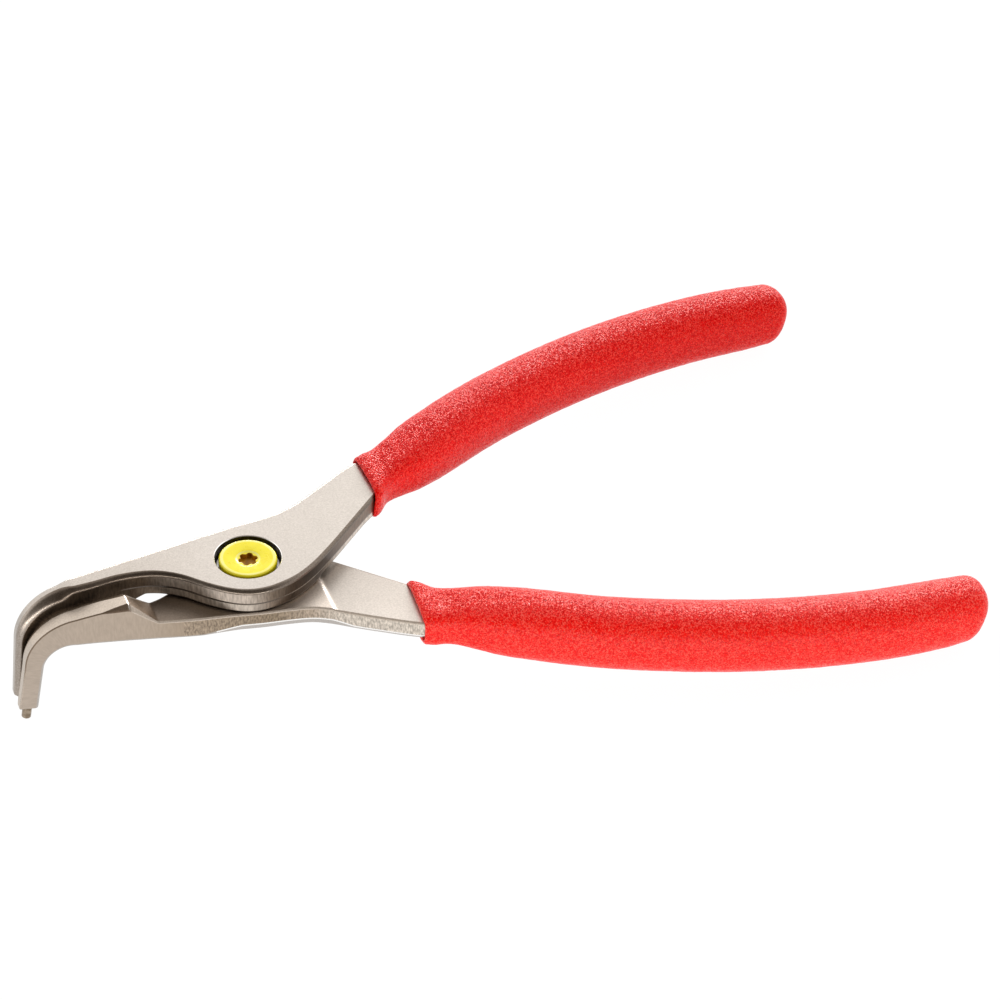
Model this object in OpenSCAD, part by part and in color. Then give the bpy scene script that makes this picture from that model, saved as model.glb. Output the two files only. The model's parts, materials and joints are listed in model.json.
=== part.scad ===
// External circlip pliers with tips bent square to the handles.
// The two forged levers lap at a screw pivot and do not cross: squeezing the handles opens the tips.
// Everything is drawn flat first, with the pivot axis upright at the origin and the lap plane at zero.
// The whole tool is then stood on its tip pins and grip ends, the way it rests on a bench.

/* [Overall] */
// Reach from the pivot axis to the middle of the tip ends
tip_reach = 43.6; // [38:0.1:50]
// Depth of the far tip's end below the lap plane
far_drop = 18; // [15:0.1:24]
// Depth of the near tip's end below the lap plane
near_drop = 18.5; // [15:0.1:24]
// Lean of the far bent tip away from upright, in degrees
far_lean = 4; // [2:1:14]
// Lean of the near bent tip away from upright, in degrees
near_lean = 8; // [2:1:14]
// Reach from the pivot axis to the ends of the grips
handle_reach = 131.2; // [115:0.2:150]
// Half of the spread between the handle ends, at their middle lines
handle_spread = 47.2; // [42:0.2:52]

/* [Joint] */
// Radius of the round eye of each lever
eye_r = 10.2; // [9.6:0.1:11]
// Thickness of the far lever at its eye
far_thick = 5.4; // [5:0.1:6.5]
// Thickness of the near lever at its eye
near_thick = 4.4; // [4.2:0.1:5.5]
// Radius of the screw shoulder that the levers turn on
shoulder_r = 3; // [2.6:0.1:3.4]
// Radius of the thread below the shoulder
thread_r = 2.4; // [1.8:0.1:2.5]
// Radius of the screw head
head_r = 5.5; // [5:0.1:5.9]
// Depth of the head recess in the far lever
recess_depth = 2.6; // [2:0.1:2.8]
// How far the head lies below the face of the far lever
head_sink = 0.2; // [0.1:0.05:0.6]
// Width across the points of the six-lobed socket
socket_across = 3.9; // [3.4:0.1:4.6]
// Radius of the flush nut under the near lever
nut_r = 5.5; // [4.8:0.1:5.9]
// Height of the flush nut
nut_height = 1.9; // [1.5:0.1:2]

/* [Return spring] */
// Wire diameter of the hidden torsion spring
wire_d = 1.1; // [0.8:0.05:1.2]
// Mean radius of the spring coil
coil_r = 5.85; // [5.5:0.05:6]
// Turns of the coil
coil_turns = 1.25; // [1.25:0.25:1.5]

/* [Jaws] */
// Height of the jaws where they step up out of the lap
hump_height = 7.9; // [7:0.1:8.5]
// Thickness of the bent tips along the handles
tip_depth = 3.7; // [3:0.1:4]
// Width of each bent tip across the handles
tip_width = 2.6; // [2.2:0.1:3]
// Gap between the two tips at rest
tip_gap = 0.6; // [0.5:0.1:1]
// Radius of the far bend, at mid thickness
far_bend_r = 8.3; // [7:0.1:9]
// Radius of the near bend, at mid thickness
near_bend_r = 8; // [7:0.1:9]
// Diameter of the exposed tip pins
pin_d = 1.8; // [1.2:0.1:2]
// Length of the exposed tip pins
pin_length = 2.7; // [2:0.1:4]
// Depth of the pin shanks in the tips
shank_depth = 6; // [4:0.5:8]

/* [Handles] */
// Width of the lever handles at the grip mouths
handle_width = 9.6; // [9:0.1:10.5]
// Thickness of the steel tangs inside the grips
tang_thick = 4; // [3:0.1:4.6]
// Width of the tangs near their ends
tang_width = 7; // [5:0.1:8]
// Distance from the tang ends to the grip ends
tang_short = 14; // [8:1:30]
// Half width of the grips
grip_r = 6.3; // [5.8:0.1:7]
// Half height of the grip mouths
mouth_half = 3.7; // [3.5:0.1:4.2]
// Height of the far grip's middle above the lap plane
far_grip_z = 2.83; // [2.5:0.01:3.2]
// Height of the near grip's middle above the lap plane
near_grip_z = -1.9; // [-2.2:0.05:-1.6]

/* [Fits] */
// Running clearance of the levers on the screw shoulder
run_clear = 0.05; // [0.02:0.01:0.1]
// Clearance of pieces that are seated without moving
seat_clear = 0.05; // [0.02:0.01:0.1]
// Gap between the lap faces of the two levers
lap_gap = 0.1; // [0.06:0.02:0.2]
// Gap round the screw head and its washer
head_gap = 0.8; // [0.5:0.1:1]

/* [Hidden] */
$fn = 64;
FAR = 0;
NEAR = 1;
// Levels of the joint, on the pivot axis
lap_half = lap_gap / 2;
far_top = far_thick;
recess_floor = far_top - recess_depth;
washer_low = recess_floor + run_clear;
washer_height = 0.4;
head_low = washer_low + washer_height;
head_top = far_top - head_sink;
near_low = -near_thick;
nut_top = near_low + nut_height + seat_clear;
washer_inset = 0.3;
// Overshoot of a cut past the face that it opens
over = 1;
// Annular spring pocket, half in each lever, round a sleeve of steel
wire_r = wire_d / 2;
wire_gap = 0.1;
coil_climb = coil_turns * (wire_d + wire_gap);
sleeve_wall = 1.2;
pocket_room = 0.9;
pocket_half = coil_climb / 2 + wire_r + wire_gap;
pocket_in = shoulder_r + run_clear + sleeve_wall;
pocket_out = coil_r + wire_r + pocket_room;
leg_hole_r = wire_r + wire_gap;
leg_seat = 0.8;
leg_end_gap = 0.2;
// Stations along the levers: hump crest, foot of its ramp, edge of the lap plateau, grip mouth, tang end
hump_x = -24.6;
foot_x = -19.5;
plateau_x = 12.6;
plateau_step = 0.6;
mouth_x = 28;
neck_end = mouth_x + 12;
tang_end = handle_reach - tang_short;
// Place of the grip mouths across the tool, and how much longer a cut across a handle there runs along Y
mouth_y = 16;
mouth_slant = 1.29;
// Set-backs of the handles from the lap plane, and the fall of their outer faces to the grips
far_relief = 0.6;
near_relief = 0.3;
face_fall = 0.1;
// Underside of the near jaw, and the level that its hump is measured from
near_jaw_low = -4.25;
near_jaw_base = -3.7;
// Fall of the far lever's face where its bend starts
far_bend_drop = 0.65;
// Middle line of each lever through its bend
path_depth = 2.4;
path_z = [far_top - path_depth, -1.3];
bend_r = [far_bend_r, near_bend_r];
tip_lean = [far_lean, near_lean];
tip_drop = [far_drop, near_drop];
bend_turn = [90 - far_lean, 90 - near_lean];
function bend_fall(k) = bend_r[k] * (1 - cos(bend_turn[k]));
leg_len = [for (k = [FAR, NEAR]) (path_z[k] - bend_fall(k) + tip_drop[k]) / sin(bend_turn[k])];
bend_x = [for (k = [FAR, NEAR])
    bend_r[k] * sin(bend_turn[k]) + leg_len[k] * cos(bend_turn[k]) - tip_reach];
arc_u = [for (k = [FAR, NEAR]) bend_x[k] - bend_r[k] * bend_turn[k] * PI / 180];
tip_u = [for (k = [FAR, NEAR]) arc_u[k] - leg_len[k]];
jaw_mid = [for (k = [FAR, NEAR]) (bend_x[k] + hump_x) / 2];
tip_in = tip_gap / 2;
tip_out = tip_in + tip_width;
pin_y = tip_in + tip_width / 2;
pin_r = pin_d / 2;
pin_shoulder = 0.25;
shank_r = pin_r - pin_shoulder;
shank_end_gap = 0.3;
// Forged surfaces
step_inset = 0.3;
step_level = 2.3;
step_drop = 0.25;

// Piecewise smooth curve through [position, value] pairs
function span_at(pts, t, i = 0) = (i >= len(pts) - 2 || t < pts[i + 1][0]) ? i : span_at(pts, t, i + 1);
function rise(pts, i, j) = (pts[j][1] - pts[i][1]) / (pts[j][0] - pts[i][0]);
function slope_at(pts, i) = rise(pts, max(i - 1, 0), min(i + 1, len(pts) - 1));
function curve(pts, t) =
    let (i = span_at(pts, t), h = pts[i + 1][0] - pts[i][0], s = (t - pts[i][0]) / h)
    pts[i][1] * (2 * s ^ 3 - 3 * s ^ 2 + 1) + h * slope_at(pts, i) * (s ^ 3 - 2 * s ^ 2 + s)
    + pts[i + 1][1] * (3 * s ^ 2 - 2 * s ^ 3) + h * slope_at(pts, i + 1) * (s ^ 3 - s ^ 2);
// Evenly spaced values from a up to, but not including, b
function steps(a, b, count) = [for (i = [0 : count - 1]) a + (b - a) * i / count];

// Middle line of a handle in plan, as shares of the way along it and of its spread
handle_shape = [[0, 0], [0.165, 0.301], [0.33, 0.574], [0.55, 0.826], [0.775, 0.968], [1, 1]];
handle_mid = [for (p = handle_shape)
    [mouth_x + p[0] * (handle_reach - mouth_x), mouth_y + p[1] * (handle_spread - mouth_y)]];
function handle_y(x) = curve(handle_mid, x);
slope_step = 0.1;
function handle_slope(x) = (handle_y(x + slope_step) - handle_y(x - slope_step)) / (2 * slope_step);
function across(x) = sqrt(1 + handle_slope(x) ^ 2);
tang_neck_x = mouth_x + 4.5;
tang_half = [[mouth_x, handle_width / 2 + 0.2], [tang_neck_x, handle_width / 2 - 0.9],
    [tang_end, tang_width / 2]];
tang_stations = concat([tang_neck_x], steps(neck_end, tang_end, 5), [tang_end]);

// How much slimmer each lever is on its outer side, before and behind its eye
slim = [0.35, 0];
// Plan outline of a lever, outer and inner wall, against distance along its middle line
function outer_wall(k) = concat(
    [[tip_u[k], tip_out], [arc_u[k], tip_out + 0.4], [bend_x[k], tip_out + 1.4], [hump_x - 2.4, 5.5],
     [-20, 6.9 - slim[k] / 2], [-13, 8.3 - slim[k]], [-6.5, eye_r - 1], [0, eye_r + 0.1],
     [5, eye_r + 0.7], [9.5, eye_r + 1.6],
     [13.5, mouth_y - 2.2 - slim[k]], [19.2, mouth_y + 1.3 - slim[k]],
     [mouth_x, mouth_y + handle_width / 2 * mouth_slant]],
    [for (x = tang_stations) [x, handle_y(x) + lookup(x, tang_half) * across(x)]]);
function inner_wall(k) = concat(
    [[tip_u[k], tip_in], [arc_u[k], tip_in], [bend_x[k], tip_in + 0.1], [jaw_mid[k], tip_in + 0.45],
     [hump_x, 1.35], [-20, 1.05], [-16.5, 0], [-13, -2.2], [-9.5, -5.6],
     [-0.6 * eye_r, -0.81 * eye_r], [-0.3 * eye_r, -0.955 * eye_r], [0, -eye_r],
     [0.3 * eye_r, -0.96 * eye_r], [0.68 * eye_r, -0.83 * eye_r], [11, -5.9], [16, -1.6], [22, 4.1],
     [mouth_x, mouth_y - handle_width / 2 * mouth_slant]],
    [for (x = tang_stations) [x, handle_y(x) - lookup(x, tang_half) * across(x)]]);

// Top and bottom of a lever, measured from its middle line
jaw_depth = 5;
function top_face(k) = k == FAR
    ? [[arc_u[k], tip_depth / 2], [bend_x[k] - 1.2, far_top - far_bend_drop - path_z[k]],
       [bend_x[k] + 0.6, far_top - path_z[k]], [mouth_x, far_top - face_fall - path_z[k]],
       [neck_end, far_grip_z + tang_thick / 2 - path_z[k]]]
    : [[arc_u[k], tip_depth / 2], [bend_x[k], jaw_depth / 2 + 0.8],
       [hump_x, near_jaw_base + hump_height - path_z[k]], [foot_x, -lap_half - path_z[k]],
       [plateau_x, -lap_half - path_z[k]], [plateau_x + plateau_step, -near_relief - path_z[k]],
       [mouth_x, -near_relief - path_z[k]], [neck_end, near_grip_z + tang_thick / 2 - path_z[k]]];
function bottom_face(k) = k == FAR
    ? [[arc_u[k], -tip_depth / 2], [bend_x[k], far_top - jaw_depth - path_z[k]],
       [hump_x, far_top - hump_height - path_z[k]], [foot_x, lap_half - path_z[k]],
       [plateau_x, lap_half - path_z[k]], [plateau_x + plateau_step, far_relief - path_z[k]],
       [mouth_x, far_relief - path_z[k]], [neck_end, far_grip_z - tang_thick / 2 - path_z[k]]]
    : [[arc_u[k], -tip_depth / 2], [bend_x[k], near_jaw_low - path_z[k]],
       [foot_x, near_jaw_low - path_z[k]], [-8, near_low - path_z[k]],
       [mouth_x, near_low + face_fall - path_z[k]], [neck_end, near_grip_z - tang_thick / 2 - path_z[k]]];

// Edge bevels against distance along the lever; the lower ones are [inset, drop]
function bevel_top_out(k, u) = k == FAR
    ? lookup(u, [[arc_u[k], 0.4], [bend_x[k], 0.7], [mouth_x, 0.9]])
    : lookup(u, [[jaw_mid[k], 0.15], [hump_x, 0.9], [foot_x, 0.25], [mouth_x, 0.3]]);
function bevel_top_in(k, u) = k == FAR
    ? lookup(u, [[arc_u[k], 0.7], [bend_x[k] - 1, 1.3], [bend_x[k] + 1, 0.7], [hump_x, 0.6], [mouth_x, 0.5]])
    : lookup(u, [[bend_x[k], 0.9], [hump_x, 1], [foot_x, 0.25], [mouth_x, 0.4]]);
// How steep the inner bevels are
bevel_steep = [1, 0.5];
function bevel_low(k, u) = k == FAR
    ? [0.3, 0.3]
    : [lookup(u, [[-11, 0.35], [-4, 0.9], [plateau_x, 0.9], [16, 0.7]]),
       lookup(u, [[-11, 0.35], [-4, 1.7], [plateau_x, 1.7], [16, 0.9]])];
function lower_inset(k, u) = k == FAR
    ? step_inset * lookup(u, [[hump_x, 0], [foot_x, 1], [mouth_x - 2, 1], [mouth_x, 0]])
    : 0;

// Closed cross-section of a lever as [sideways, upward] points; grow widens it for the grip cavity
function lever_section(k, u, grow = 0) =
    let (
        out = curve(outer_wall(k), u) + grow, in = curve(inner_wall(k), u) - grow,
        top = lookup(u, top_face(k)) + grow, low = lookup(u, bottom_face(k)) - grow,
        a = bevel_top_out(k, u), b = bevel_top_in(k, u), c = bevel_low(k, u), s = lower_inset(k, u),
        b_drop = b * bevel_steep[k],
        ledge = step_level - path_z[FAR],
        round = 1 - sqrt(1 / 2)
    )
    [[out - a, top], [out - a * round, top - a * round], [out, top - a],
     [out, ledge], [out - s, ledge - step_drop], [out - s, low + c[1]], [out - s - c[0], low],
     [in + s + c[0], low], [in + s, low + c[1]], [in + s, ledge - step_drop], [in, ledge],
     [in, top - b_drop], [in + b * round, top - b_drop * round], [in + b, top]];

// Point of the section on the middle line, which runs down the tip, round the bend and along the handle
function on_path(k, u, p) =
    let (
        s = bend_x[k] - u,
        turned = min(max(s, 0) / bend_r[k] * 180 / PI, bend_turn[k]),
        extra = max(arc_u[k] - u, 0),
        x = max(u, bend_x[k]) - bend_r[k] * sin(turned) - extra * cos(turned),
        z = path_z[k] - bend_r[k] * (1 - cos(turned)) - extra * sin(turned)
    )
    [x - p[1] * sin(turned), p[0], z + p[1] * cos(turned)];

function lever_stations(k) = concat(
    steps(tip_u[k], arc_u[k], 3), steps(arc_u[k], bend_x[k], 10), steps(bend_x[k], hump_x, 4),
    steps(hump_x, foot_x, 2), steps(foot_x, plateau_x, 26), [plateau_x],
    steps(plateau_x + plateau_step, mouth_x, 6), steps(mouth_x, tang_end, 13), [tang_end]);

// Solid skin over a list of rings that all have the same number of points
module skin(rings) {
    n = len(rings[0]);
    last = len(rings) - 1;
    points = [for (ring = rings) each ring];
    sides = [for (i = [0 : last - 1], j = [0 : n - 1], half = [0, 1])
        let (a = i * n + j, b = i * n + (j + 1) % n)
        half == 0 ? [a, b, b + n] : [a, b + n, a + n]];
    start_cap = [for (j = [n - 1 : -1 : 0]) j];
    end_cap = [for (j = [0 : n - 1]) last * n + j];
    polyhedron(points, concat(sides, [start_cap, end_cap]), convexity = 6);
}

// Forged lever on the far side of the middle plane, before drilling
module lever_blank(k) {
    skin([for (u = lever_stations(k)) [for (p = lever_section(k, u)) on_path(k, u, p)]]);
}

// Room for the tang inside a grip
module tang_room(k) {
    end_room = 0.3;
    stations = concat([mouth_x - over], steps(mouth_x, tang_end, 13), [tang_end, tang_end + end_room]);
    skin([for (u = stations)
        [for (p = lever_section(k, min(u, tang_end), seat_clear)) [u, p[0], p[1] + path_z[k]]]]);
}

// Places children at a tip end with their own axis running out of the tip along minus Z
module at_tip(k) {
    translate([-tip_reach, pin_y, -tip_drop[k]]) rotate([0, tip_lean[k], 0]) children();
}

// Annular half pocket for the spring, cut upward from the lap plane
module spring_pocket() {
    difference() {
        translate([0, 0, -over]) cylinder(r = pocket_out, h = pocket_half + over);
        translate([0, 0, -2 * over]) cylinder(r = pocket_in, h = pocket_half + 4 * over);
    }
}

// Seat of one spring leg, cut upward from the floor of a pocket
module leg_hole(turn) {
    rotate([0, 0, turn]) translate([coil_r, 0, 0]) cylinder(r = leg_hole_r, h = pocket_half + leg_seat);
}

// Dipped grips: a flared lip at the mouth, a neck that dips on its inner side, then a full round body
grip_z = [far_grip_z, near_grip_z];
mouth_z = [(far_top - face_fall + far_relief) / 2, (near_low + face_fall - near_relief) / 2];
lip_end = mouth_x + 1.8;
throat_x = mouth_x + 4.2;
shoulder_x = mouth_x + 18;
body_x = mouth_x + 26;
function grip_mid(k, x) = lookup(x, [[mouth_x, mouth_z[k]], [shoulder_x, grip_z[k]]]);
// Flat slanted grip end with rounded edges, larger on top than below
end_back = 0.95;
end_x = handle_reach - end_back;
end_length = 8;
end_taper = 0.4;
end_half = grip_r - end_taper;
end_slant = 0.34;
end_skew = -0.09;
top_round = 4.8;
low_round = 2.8;
taper_x = end_x - 16;
function grip_half(x) = curve([[mouth_x, handle_width / 2 + 1], [lip_end, handle_width / 2 + 1],
    [throat_x, handle_width / 2 + 0.5], [mouth_x + 8, handle_width / 2 + 0.65], [neck_end, grip_r - 0.2],
    [shoulder_x, grip_r], [taper_x, grip_r], [end_x, end_half]], x);
function grip_dip(x) = curve([[mouth_x, 0], [lip_end, 0.05], [throat_x, 0.7], [mouth_x + 9.5, 0.5],
    [shoulder_x, 0], [end_x, 0]], x);
function grip_rise(x) = curve([[mouth_x, mouth_half + 0.1], [lip_end, mouth_half + 0.15],
    [throat_x, mouth_half], [mouth_x + 8.5, mouth_half + 0.85], [shoulder_x - 1, grip_r - 0.4],
    [body_x, grip_r], [taper_x, grip_r], [end_x, end_half]], x);
grip_sides = 24;
end_power = 2.4;
function grip_power(x) = lookup(x, [[mouth_x, 4], [shoulder_x - 2, 2.6], [body_x, end_power]]);
function signed_power(v, p) = sign(v) * abs(v) ^ (2 / p);
// Slant of each grip's mouth: its shift along the handle, and how much that grows outward and upward
mouth_cut = [[0.4, -0.15, 0.4], [-0.45, -0.4, 0.05]];
mouth_cut_length = 6;
function mouth_shift(k, x, c, s) = lookup(x, [[mouth_x, 1], [mouth_x + mouth_cut_length, 0]])
    * (mouth_cut[k][0] + mouth_cut[k][1] * c + mouth_cut[k][2] * s);
function grip_ring(k, x) = [for (i = [0 : grip_sides - 1])
    let (
        a = -360 * i / grip_sides, p = grip_power(x),
        half = cos(a) > 0 ? grip_half(x) : grip_half(x) - grip_dip(x),
        c = signed_power(cos(a), p), s = signed_power(sin(a), p)
    )
    [x + mouth_shift(k, x, c, s), handle_y(x) + half * across(x) * c, grip_mid(k, x) + grip_rise(x) * s]];
// Ring on the rounded edge of a grip end, from its start at swing 0 to the flat end at swing 90
function end_ring(k, swing) = [for (i = [0 : grip_sides - 1])
    let (
        a = -360 * i / grip_sides, c = signed_power(cos(a), end_power), s = signed_power(sin(a), end_power),
        r = (top_round + low_round) / 2 + (top_round - low_round) / 2 * s,
        half = end_half - r * (1 - cos(swing)),
        back = end_slant * half * s + end_skew * half * c - r * (1 - sin(swing))
    )
    [end_x + back, handle_y(end_x) + handle_slope(end_x) * back + half * c, grip_z[k] + half * s]];

// Grip on the far side of the middle plane
module grip(k) {
    neck = concat(steps(mouth_x, throat_x, 5), steps(throat_x, body_x, 9));
    body = concat(steps(body_x, end_x - end_length, 9), [end_x - end_length]);
    difference() {
        skin(concat([for (x = concat(neck, body)) grip_ring(k, x)],
            [for (swing = [0 : 18 : 90]) end_ring(k, swing)]));
        tang_room(k);
    }
}

// Stepped pin that is pressed into a tip
module pin_shape() {
    chamfer = 0.2;
    rotate_extrude()
        polygon([[0, shank_depth - shank_end_gap], [shank_r, shank_depth - shank_end_gap], [shank_r, 0],
            [pin_r, 0], [pin_r, -pin_length + chamfer], [pin_r - chamfer, -pin_length], [0, -pin_length]]);
}
module shank_hole() {
    translate([0, 0, -over]) cylinder(r = shank_r + seat_clear, h = shank_depth + over);
}

// Six-lobed socket outline
module socket_outline() {
    lobe_r = 0.13 * socket_across;
    circle(r = 0.37 * socket_across);
    for (i = [0 : 5]) rotate(60 * i) translate([socket_across / 2 - lobe_r, 0]) circle(r = lobe_r);
}

// Resting plane: under the near tip pin and under both grip ends
rest_x = end_x - low_round - end_slant * end_half;
pin_end = [-tip_reach - pin_length * sin(near_lean), -pin_y, -near_drop - pin_length * cos(near_lean)];
far_rest = [rest_x, handle_spread, far_grip_z - end_half];
near_rest = [rest_x, -handle_spread, near_grip_z - end_half];
rest_cross = cross(far_rest - pin_end, near_rest - pin_end);
rest_up = -rest_cross / norm(rest_cross);
tilt = acos(rest_up[2]);
tilt_cross = cross(rest_up, [0, 0, 1]);
tilt_axis = tilt_cross / norm(tilt_cross);
function tilted(p) = p * cos(tilt) + cross(tilt_axis, p) * sin(tilt)
    + tilt_axis * (tilt_axis * p) * (1 - cos(tilt));
tip_face = tilted([-tip_reach - tip_depth / 2, 0, -far_drop]);
grip_face = tilted([handle_reach, handle_spread, far_grip_z]);
far_face = tilted([rest_x, handle_spread + grip_r, far_grip_z]);
near_face = tilted([rest_x, -handle_spread - grip_r, near_grip_z]);
stand_shift = [-(tip_face[0] + grip_face[0]) / 2, -(far_face[1] + near_face[1]) / 2, -tilted(pin_end)[2]];
module stand() {
    translate(stand_shift) rotate(a = tilt, v = tilt_axis) children();
}

// Forged lever under the joint, with the lap plane on its top
module near_lever() {
    color([0.78, 0.75, 0.71]) stand() mirror([0, 1, 0]) difference() {
        lever_blank(NEAR);
        translate([0, 0, near_low - over]) cylinder(r = shoulder_r + seat_clear, h = near_thick + 2 * over);
        translate([0, 0, near_low - over]) cylinder(r = nut_r + seat_clear, h = nut_top - near_low + over);
        mirror([0, 0, 1]) spring_pocket();
        mirror([0, 0, 1]) leg_hole(0);
        at_tip(NEAR) shank_hole();
    }
}

// Forged lever over the joint, with the recess for the screw head
module far_lever() {
    color([0.82, 0.79, 0.75]) stand() difference() {
        lever_blank(FAR);
        translate([0, 0, -over]) cylinder(r = shoulder_r + run_clear, h = far_top + 2 * over);
        translate([0, 0, recess_floor]) cylinder(r = head_r + head_gap, h = recess_depth + over);
        spring_pocket();
        leg_hole(360 * coil_turns);
        at_tip(FAR) shank_hole();
    }
}

module near_grip() {
    color([0.85, 0.15, 0.13]) stand() mirror([0, 1, 0]) grip(NEAR);
}

module far_grip() {
    color([0.85, 0.15, 0.13]) stand() grip(FAR);
}

module near_tip_pin() {
    color([0.5, 0.43, 0.35]) stand() mirror([0, 1, 0]) at_tip(NEAR) pin_shape();
}

module far_tip_pin() {
    color([0.5, 0.43, 0.35]) stand() at_tip(FAR) pin_shape();
}

// Shouldered screw with a low round head
module pivot_screw() {
    rim = 0.45;
    socket_depth = 1.5;
    dip = 0.3;
    dip_r = socket_across / 2;
    dip_flare = 0.35;
    thread_short = 0.2;
    thread_end = near_low + thread_short;
    rim_arc = [for (a = [0 : 15 : 90]) [head_r - rim + rim * cos(a), head_top - rim + rim * sin(a)]];
    color([0.98, 0.92, 0.16]) stand() difference() {
        rotate_extrude()
            polygon(concat([[0, thread_end], [thread_r, thread_end], [thread_r, nut_top],
                [shoulder_r, nut_top], [shoulder_r, head_low], [head_r, head_low]],
                rim_arc, [[0, head_top]]));
        translate([0, 0, head_top - socket_depth]) linear_extrude(socket_depth + over) socket_outline();
        translate([0, 0, head_top - dip]) cylinder(r1 = dip_r, r2 = dip_r + 2 * dip_flare, h = 2 * dip);
    }
}

module head_washer() {
    color([0.8, 0.8, 0.82]) stand() translate([0, 0, washer_low]) difference() {
        cylinder(r = head_r + head_gap - washer_inset, h = washer_height);
        translate([0, 0, -over]) cylinder(r = shoulder_r + seat_clear, h = washer_height + 2 * over);
    }
}

// Round nut, flush with the underside of the near lever
module pivot_nut() {
    color([0.7, 0.68, 0.66]) stand() translate([0, 0, nut_top - nut_height]) difference() {
        cylinder(r = nut_r, h = nut_height);
        translate([0, 0, -over]) cylinder(r = thread_r + seat_clear, h = nut_height + 2 * over);
    }
}

// Torsion spring: one leg turned down into the near lever, one turned up into the far lever
module return_spring() {
    wire_sides = 8;
    turn_steps = 30;
    sweep = 360 * coil_turns;
    leg_end = pocket_half + leg_seat - leg_end_gap;
    coil = [for (i = [0 : turn_steps])
        let (t = i / turn_steps, turn = sweep * t)
        [for (j = [0 : wire_sides - 1])
            let (a = 360 * j / wire_sides, r = coil_r + wire_r * cos(a))
            [r * cos(turn), r * sin(turn), coil_climb * (t - 0.5) + wire_r * sin(a)]]];
    color([0.55, 0.56, 0.6]) stand() union() {
        skin(coil);
        translate([coil_r, 0, -leg_end]) cylinder(r = wire_r, h = leg_end - coil_climb / 2);
        rotate([0, 0, sweep]) translate([coil_r, 0, coil_climb / 2])
            cylinder(r = wire_r, h = leg_end - coil_climb / 2);
    }
}

near_lever();
far_lever();
near_grip();
far_grip();
near_tip_pin();
far_tip_pin();
pivot_screw();
head_washer();
pivot_nut();
return_spring();
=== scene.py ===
"""Looks of circlip pliers with bent tips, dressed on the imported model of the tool."""

import json
import logging
import math
from dataclasses import dataclass, field
from enum import Enum, IntEnum
from typing import ClassVar, Sequence

import bpy
import numpy as np
from mathutils import Matrix, Vector, noise


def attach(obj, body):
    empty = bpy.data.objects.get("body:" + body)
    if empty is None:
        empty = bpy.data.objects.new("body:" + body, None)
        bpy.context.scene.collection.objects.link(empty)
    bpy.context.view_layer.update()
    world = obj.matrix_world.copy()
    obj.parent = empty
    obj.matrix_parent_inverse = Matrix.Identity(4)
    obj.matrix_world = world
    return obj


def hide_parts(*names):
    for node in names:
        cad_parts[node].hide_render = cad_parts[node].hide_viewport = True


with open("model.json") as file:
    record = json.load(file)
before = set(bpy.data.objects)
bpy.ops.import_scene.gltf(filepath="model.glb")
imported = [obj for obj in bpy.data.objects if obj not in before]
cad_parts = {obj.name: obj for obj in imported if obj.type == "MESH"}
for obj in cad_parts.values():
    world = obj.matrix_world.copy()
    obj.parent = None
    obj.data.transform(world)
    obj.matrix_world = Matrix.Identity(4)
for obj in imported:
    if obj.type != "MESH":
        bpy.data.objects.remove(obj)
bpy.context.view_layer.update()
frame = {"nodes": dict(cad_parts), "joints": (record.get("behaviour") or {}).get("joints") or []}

LOG = logging.getLogger("pliers")
MM = 0.001

Pair = tuple[float, float]
Point = tuple[float, float, float]
Color = tuple[float, float, float]
Stop = tuple[float, Color]


def straight(u: float, pairs: Sequence[Pair]) -> float:
    """Value at u on straight lines through [position, value] pairs, level past both ends."""
    return float(np.interp(u, [p[0] for p in pairs], [p[1] for p in pairs]))


def softened(u: float, pairs: Sequence[Pair], width: float = 0.3) -> float:
    """Straight lines through [position, value] pairs with their corners rounded off.

    Args:
        u: Position along the piece.
        pairs: Positions and values, in rising order of position.
        width: Half of the length over which a corner is rounded.

    Returns:
        The value at u.
    """
    spots = [u + width * share for share in (-1, -0.5, 0, 0.5, 1)]
    return sum(straight(spot, pairs) for spot in spots) / len(spots)


def curve(u: float, pairs: Sequence[Pair]) -> float:
    """Value at u on a smooth curve through [position, value] pairs.

    Args:
        u: Position along the piece.
        pairs: Positions and values, in rising order of position.

    Returns:
        The value at u, on a cubic whose slope at a pair follows its two neighbours.
    """
    last = len(pairs) - 1
    i = 0
    while i < last - 1 and u >= pairs[i + 1][0]:
        i += 1

    def slope(k: int) -> float:
        """Slope at pair k."""
        low, high = pairs[max(k - 1, 0)], pairs[min(k + 1, last)]
        return (high[1] - low[1]) / (high[0] - low[0])

    h = pairs[i + 1][0] - pairs[i][0]
    s = (u - pairs[i][0]) / h
    start = pairs[i][1] * (2 * s**3 - 3 * s**2 + 1) + h * slope(i) * (s**3 - 2 * s**2 + s)
    end = pairs[i + 1][1] * (3 * s**2 - 2 * s**3) + h * slope(i + 1) * (s**3 - s**2)
    return start + end


def spread(start: float, end: float, step: float) -> list[float]:
    """Evenly spaced values from start up to, but not including, end."""
    count = max(1, math.ceil((end - start) / step))
    return [start + (end - start) * i / count for i in range(count)]


def filleted(corners: Sequence[Pair], radii: Sequence[float], steps: int) -> list[Pair]:
    """Rounds every corner of a closed outline.

    Args:
        corners: The outline's corners, in order.
        radii: How far from each corner its rounding starts.
        steps: Straight pieces in each rounding.

    Returns:
        The rounded outline, with steps + 1 points for each corner.
    """
    most = 0.45
    outline: list[Pair] = []
    for i, corner in enumerate(corners):
        here = Vector(corner)
        back = Vector(corners[i - 1]) - here
        ahead = Vector(corners[(i + 1) % len(corners)]) - here
        reach = min(radii[i], most * back.length, most * ahead.length)
        first = here + back.normalized() * reach
        final = here + ahead.normalized() * reach
        for k in range(steps + 1):
            t = k / steps
            point = first * (1 - t) ** 2 + here * (2 * t * (1 - t)) + final * t**2
            outline.append((point.x, point.y))
    return outline


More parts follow.
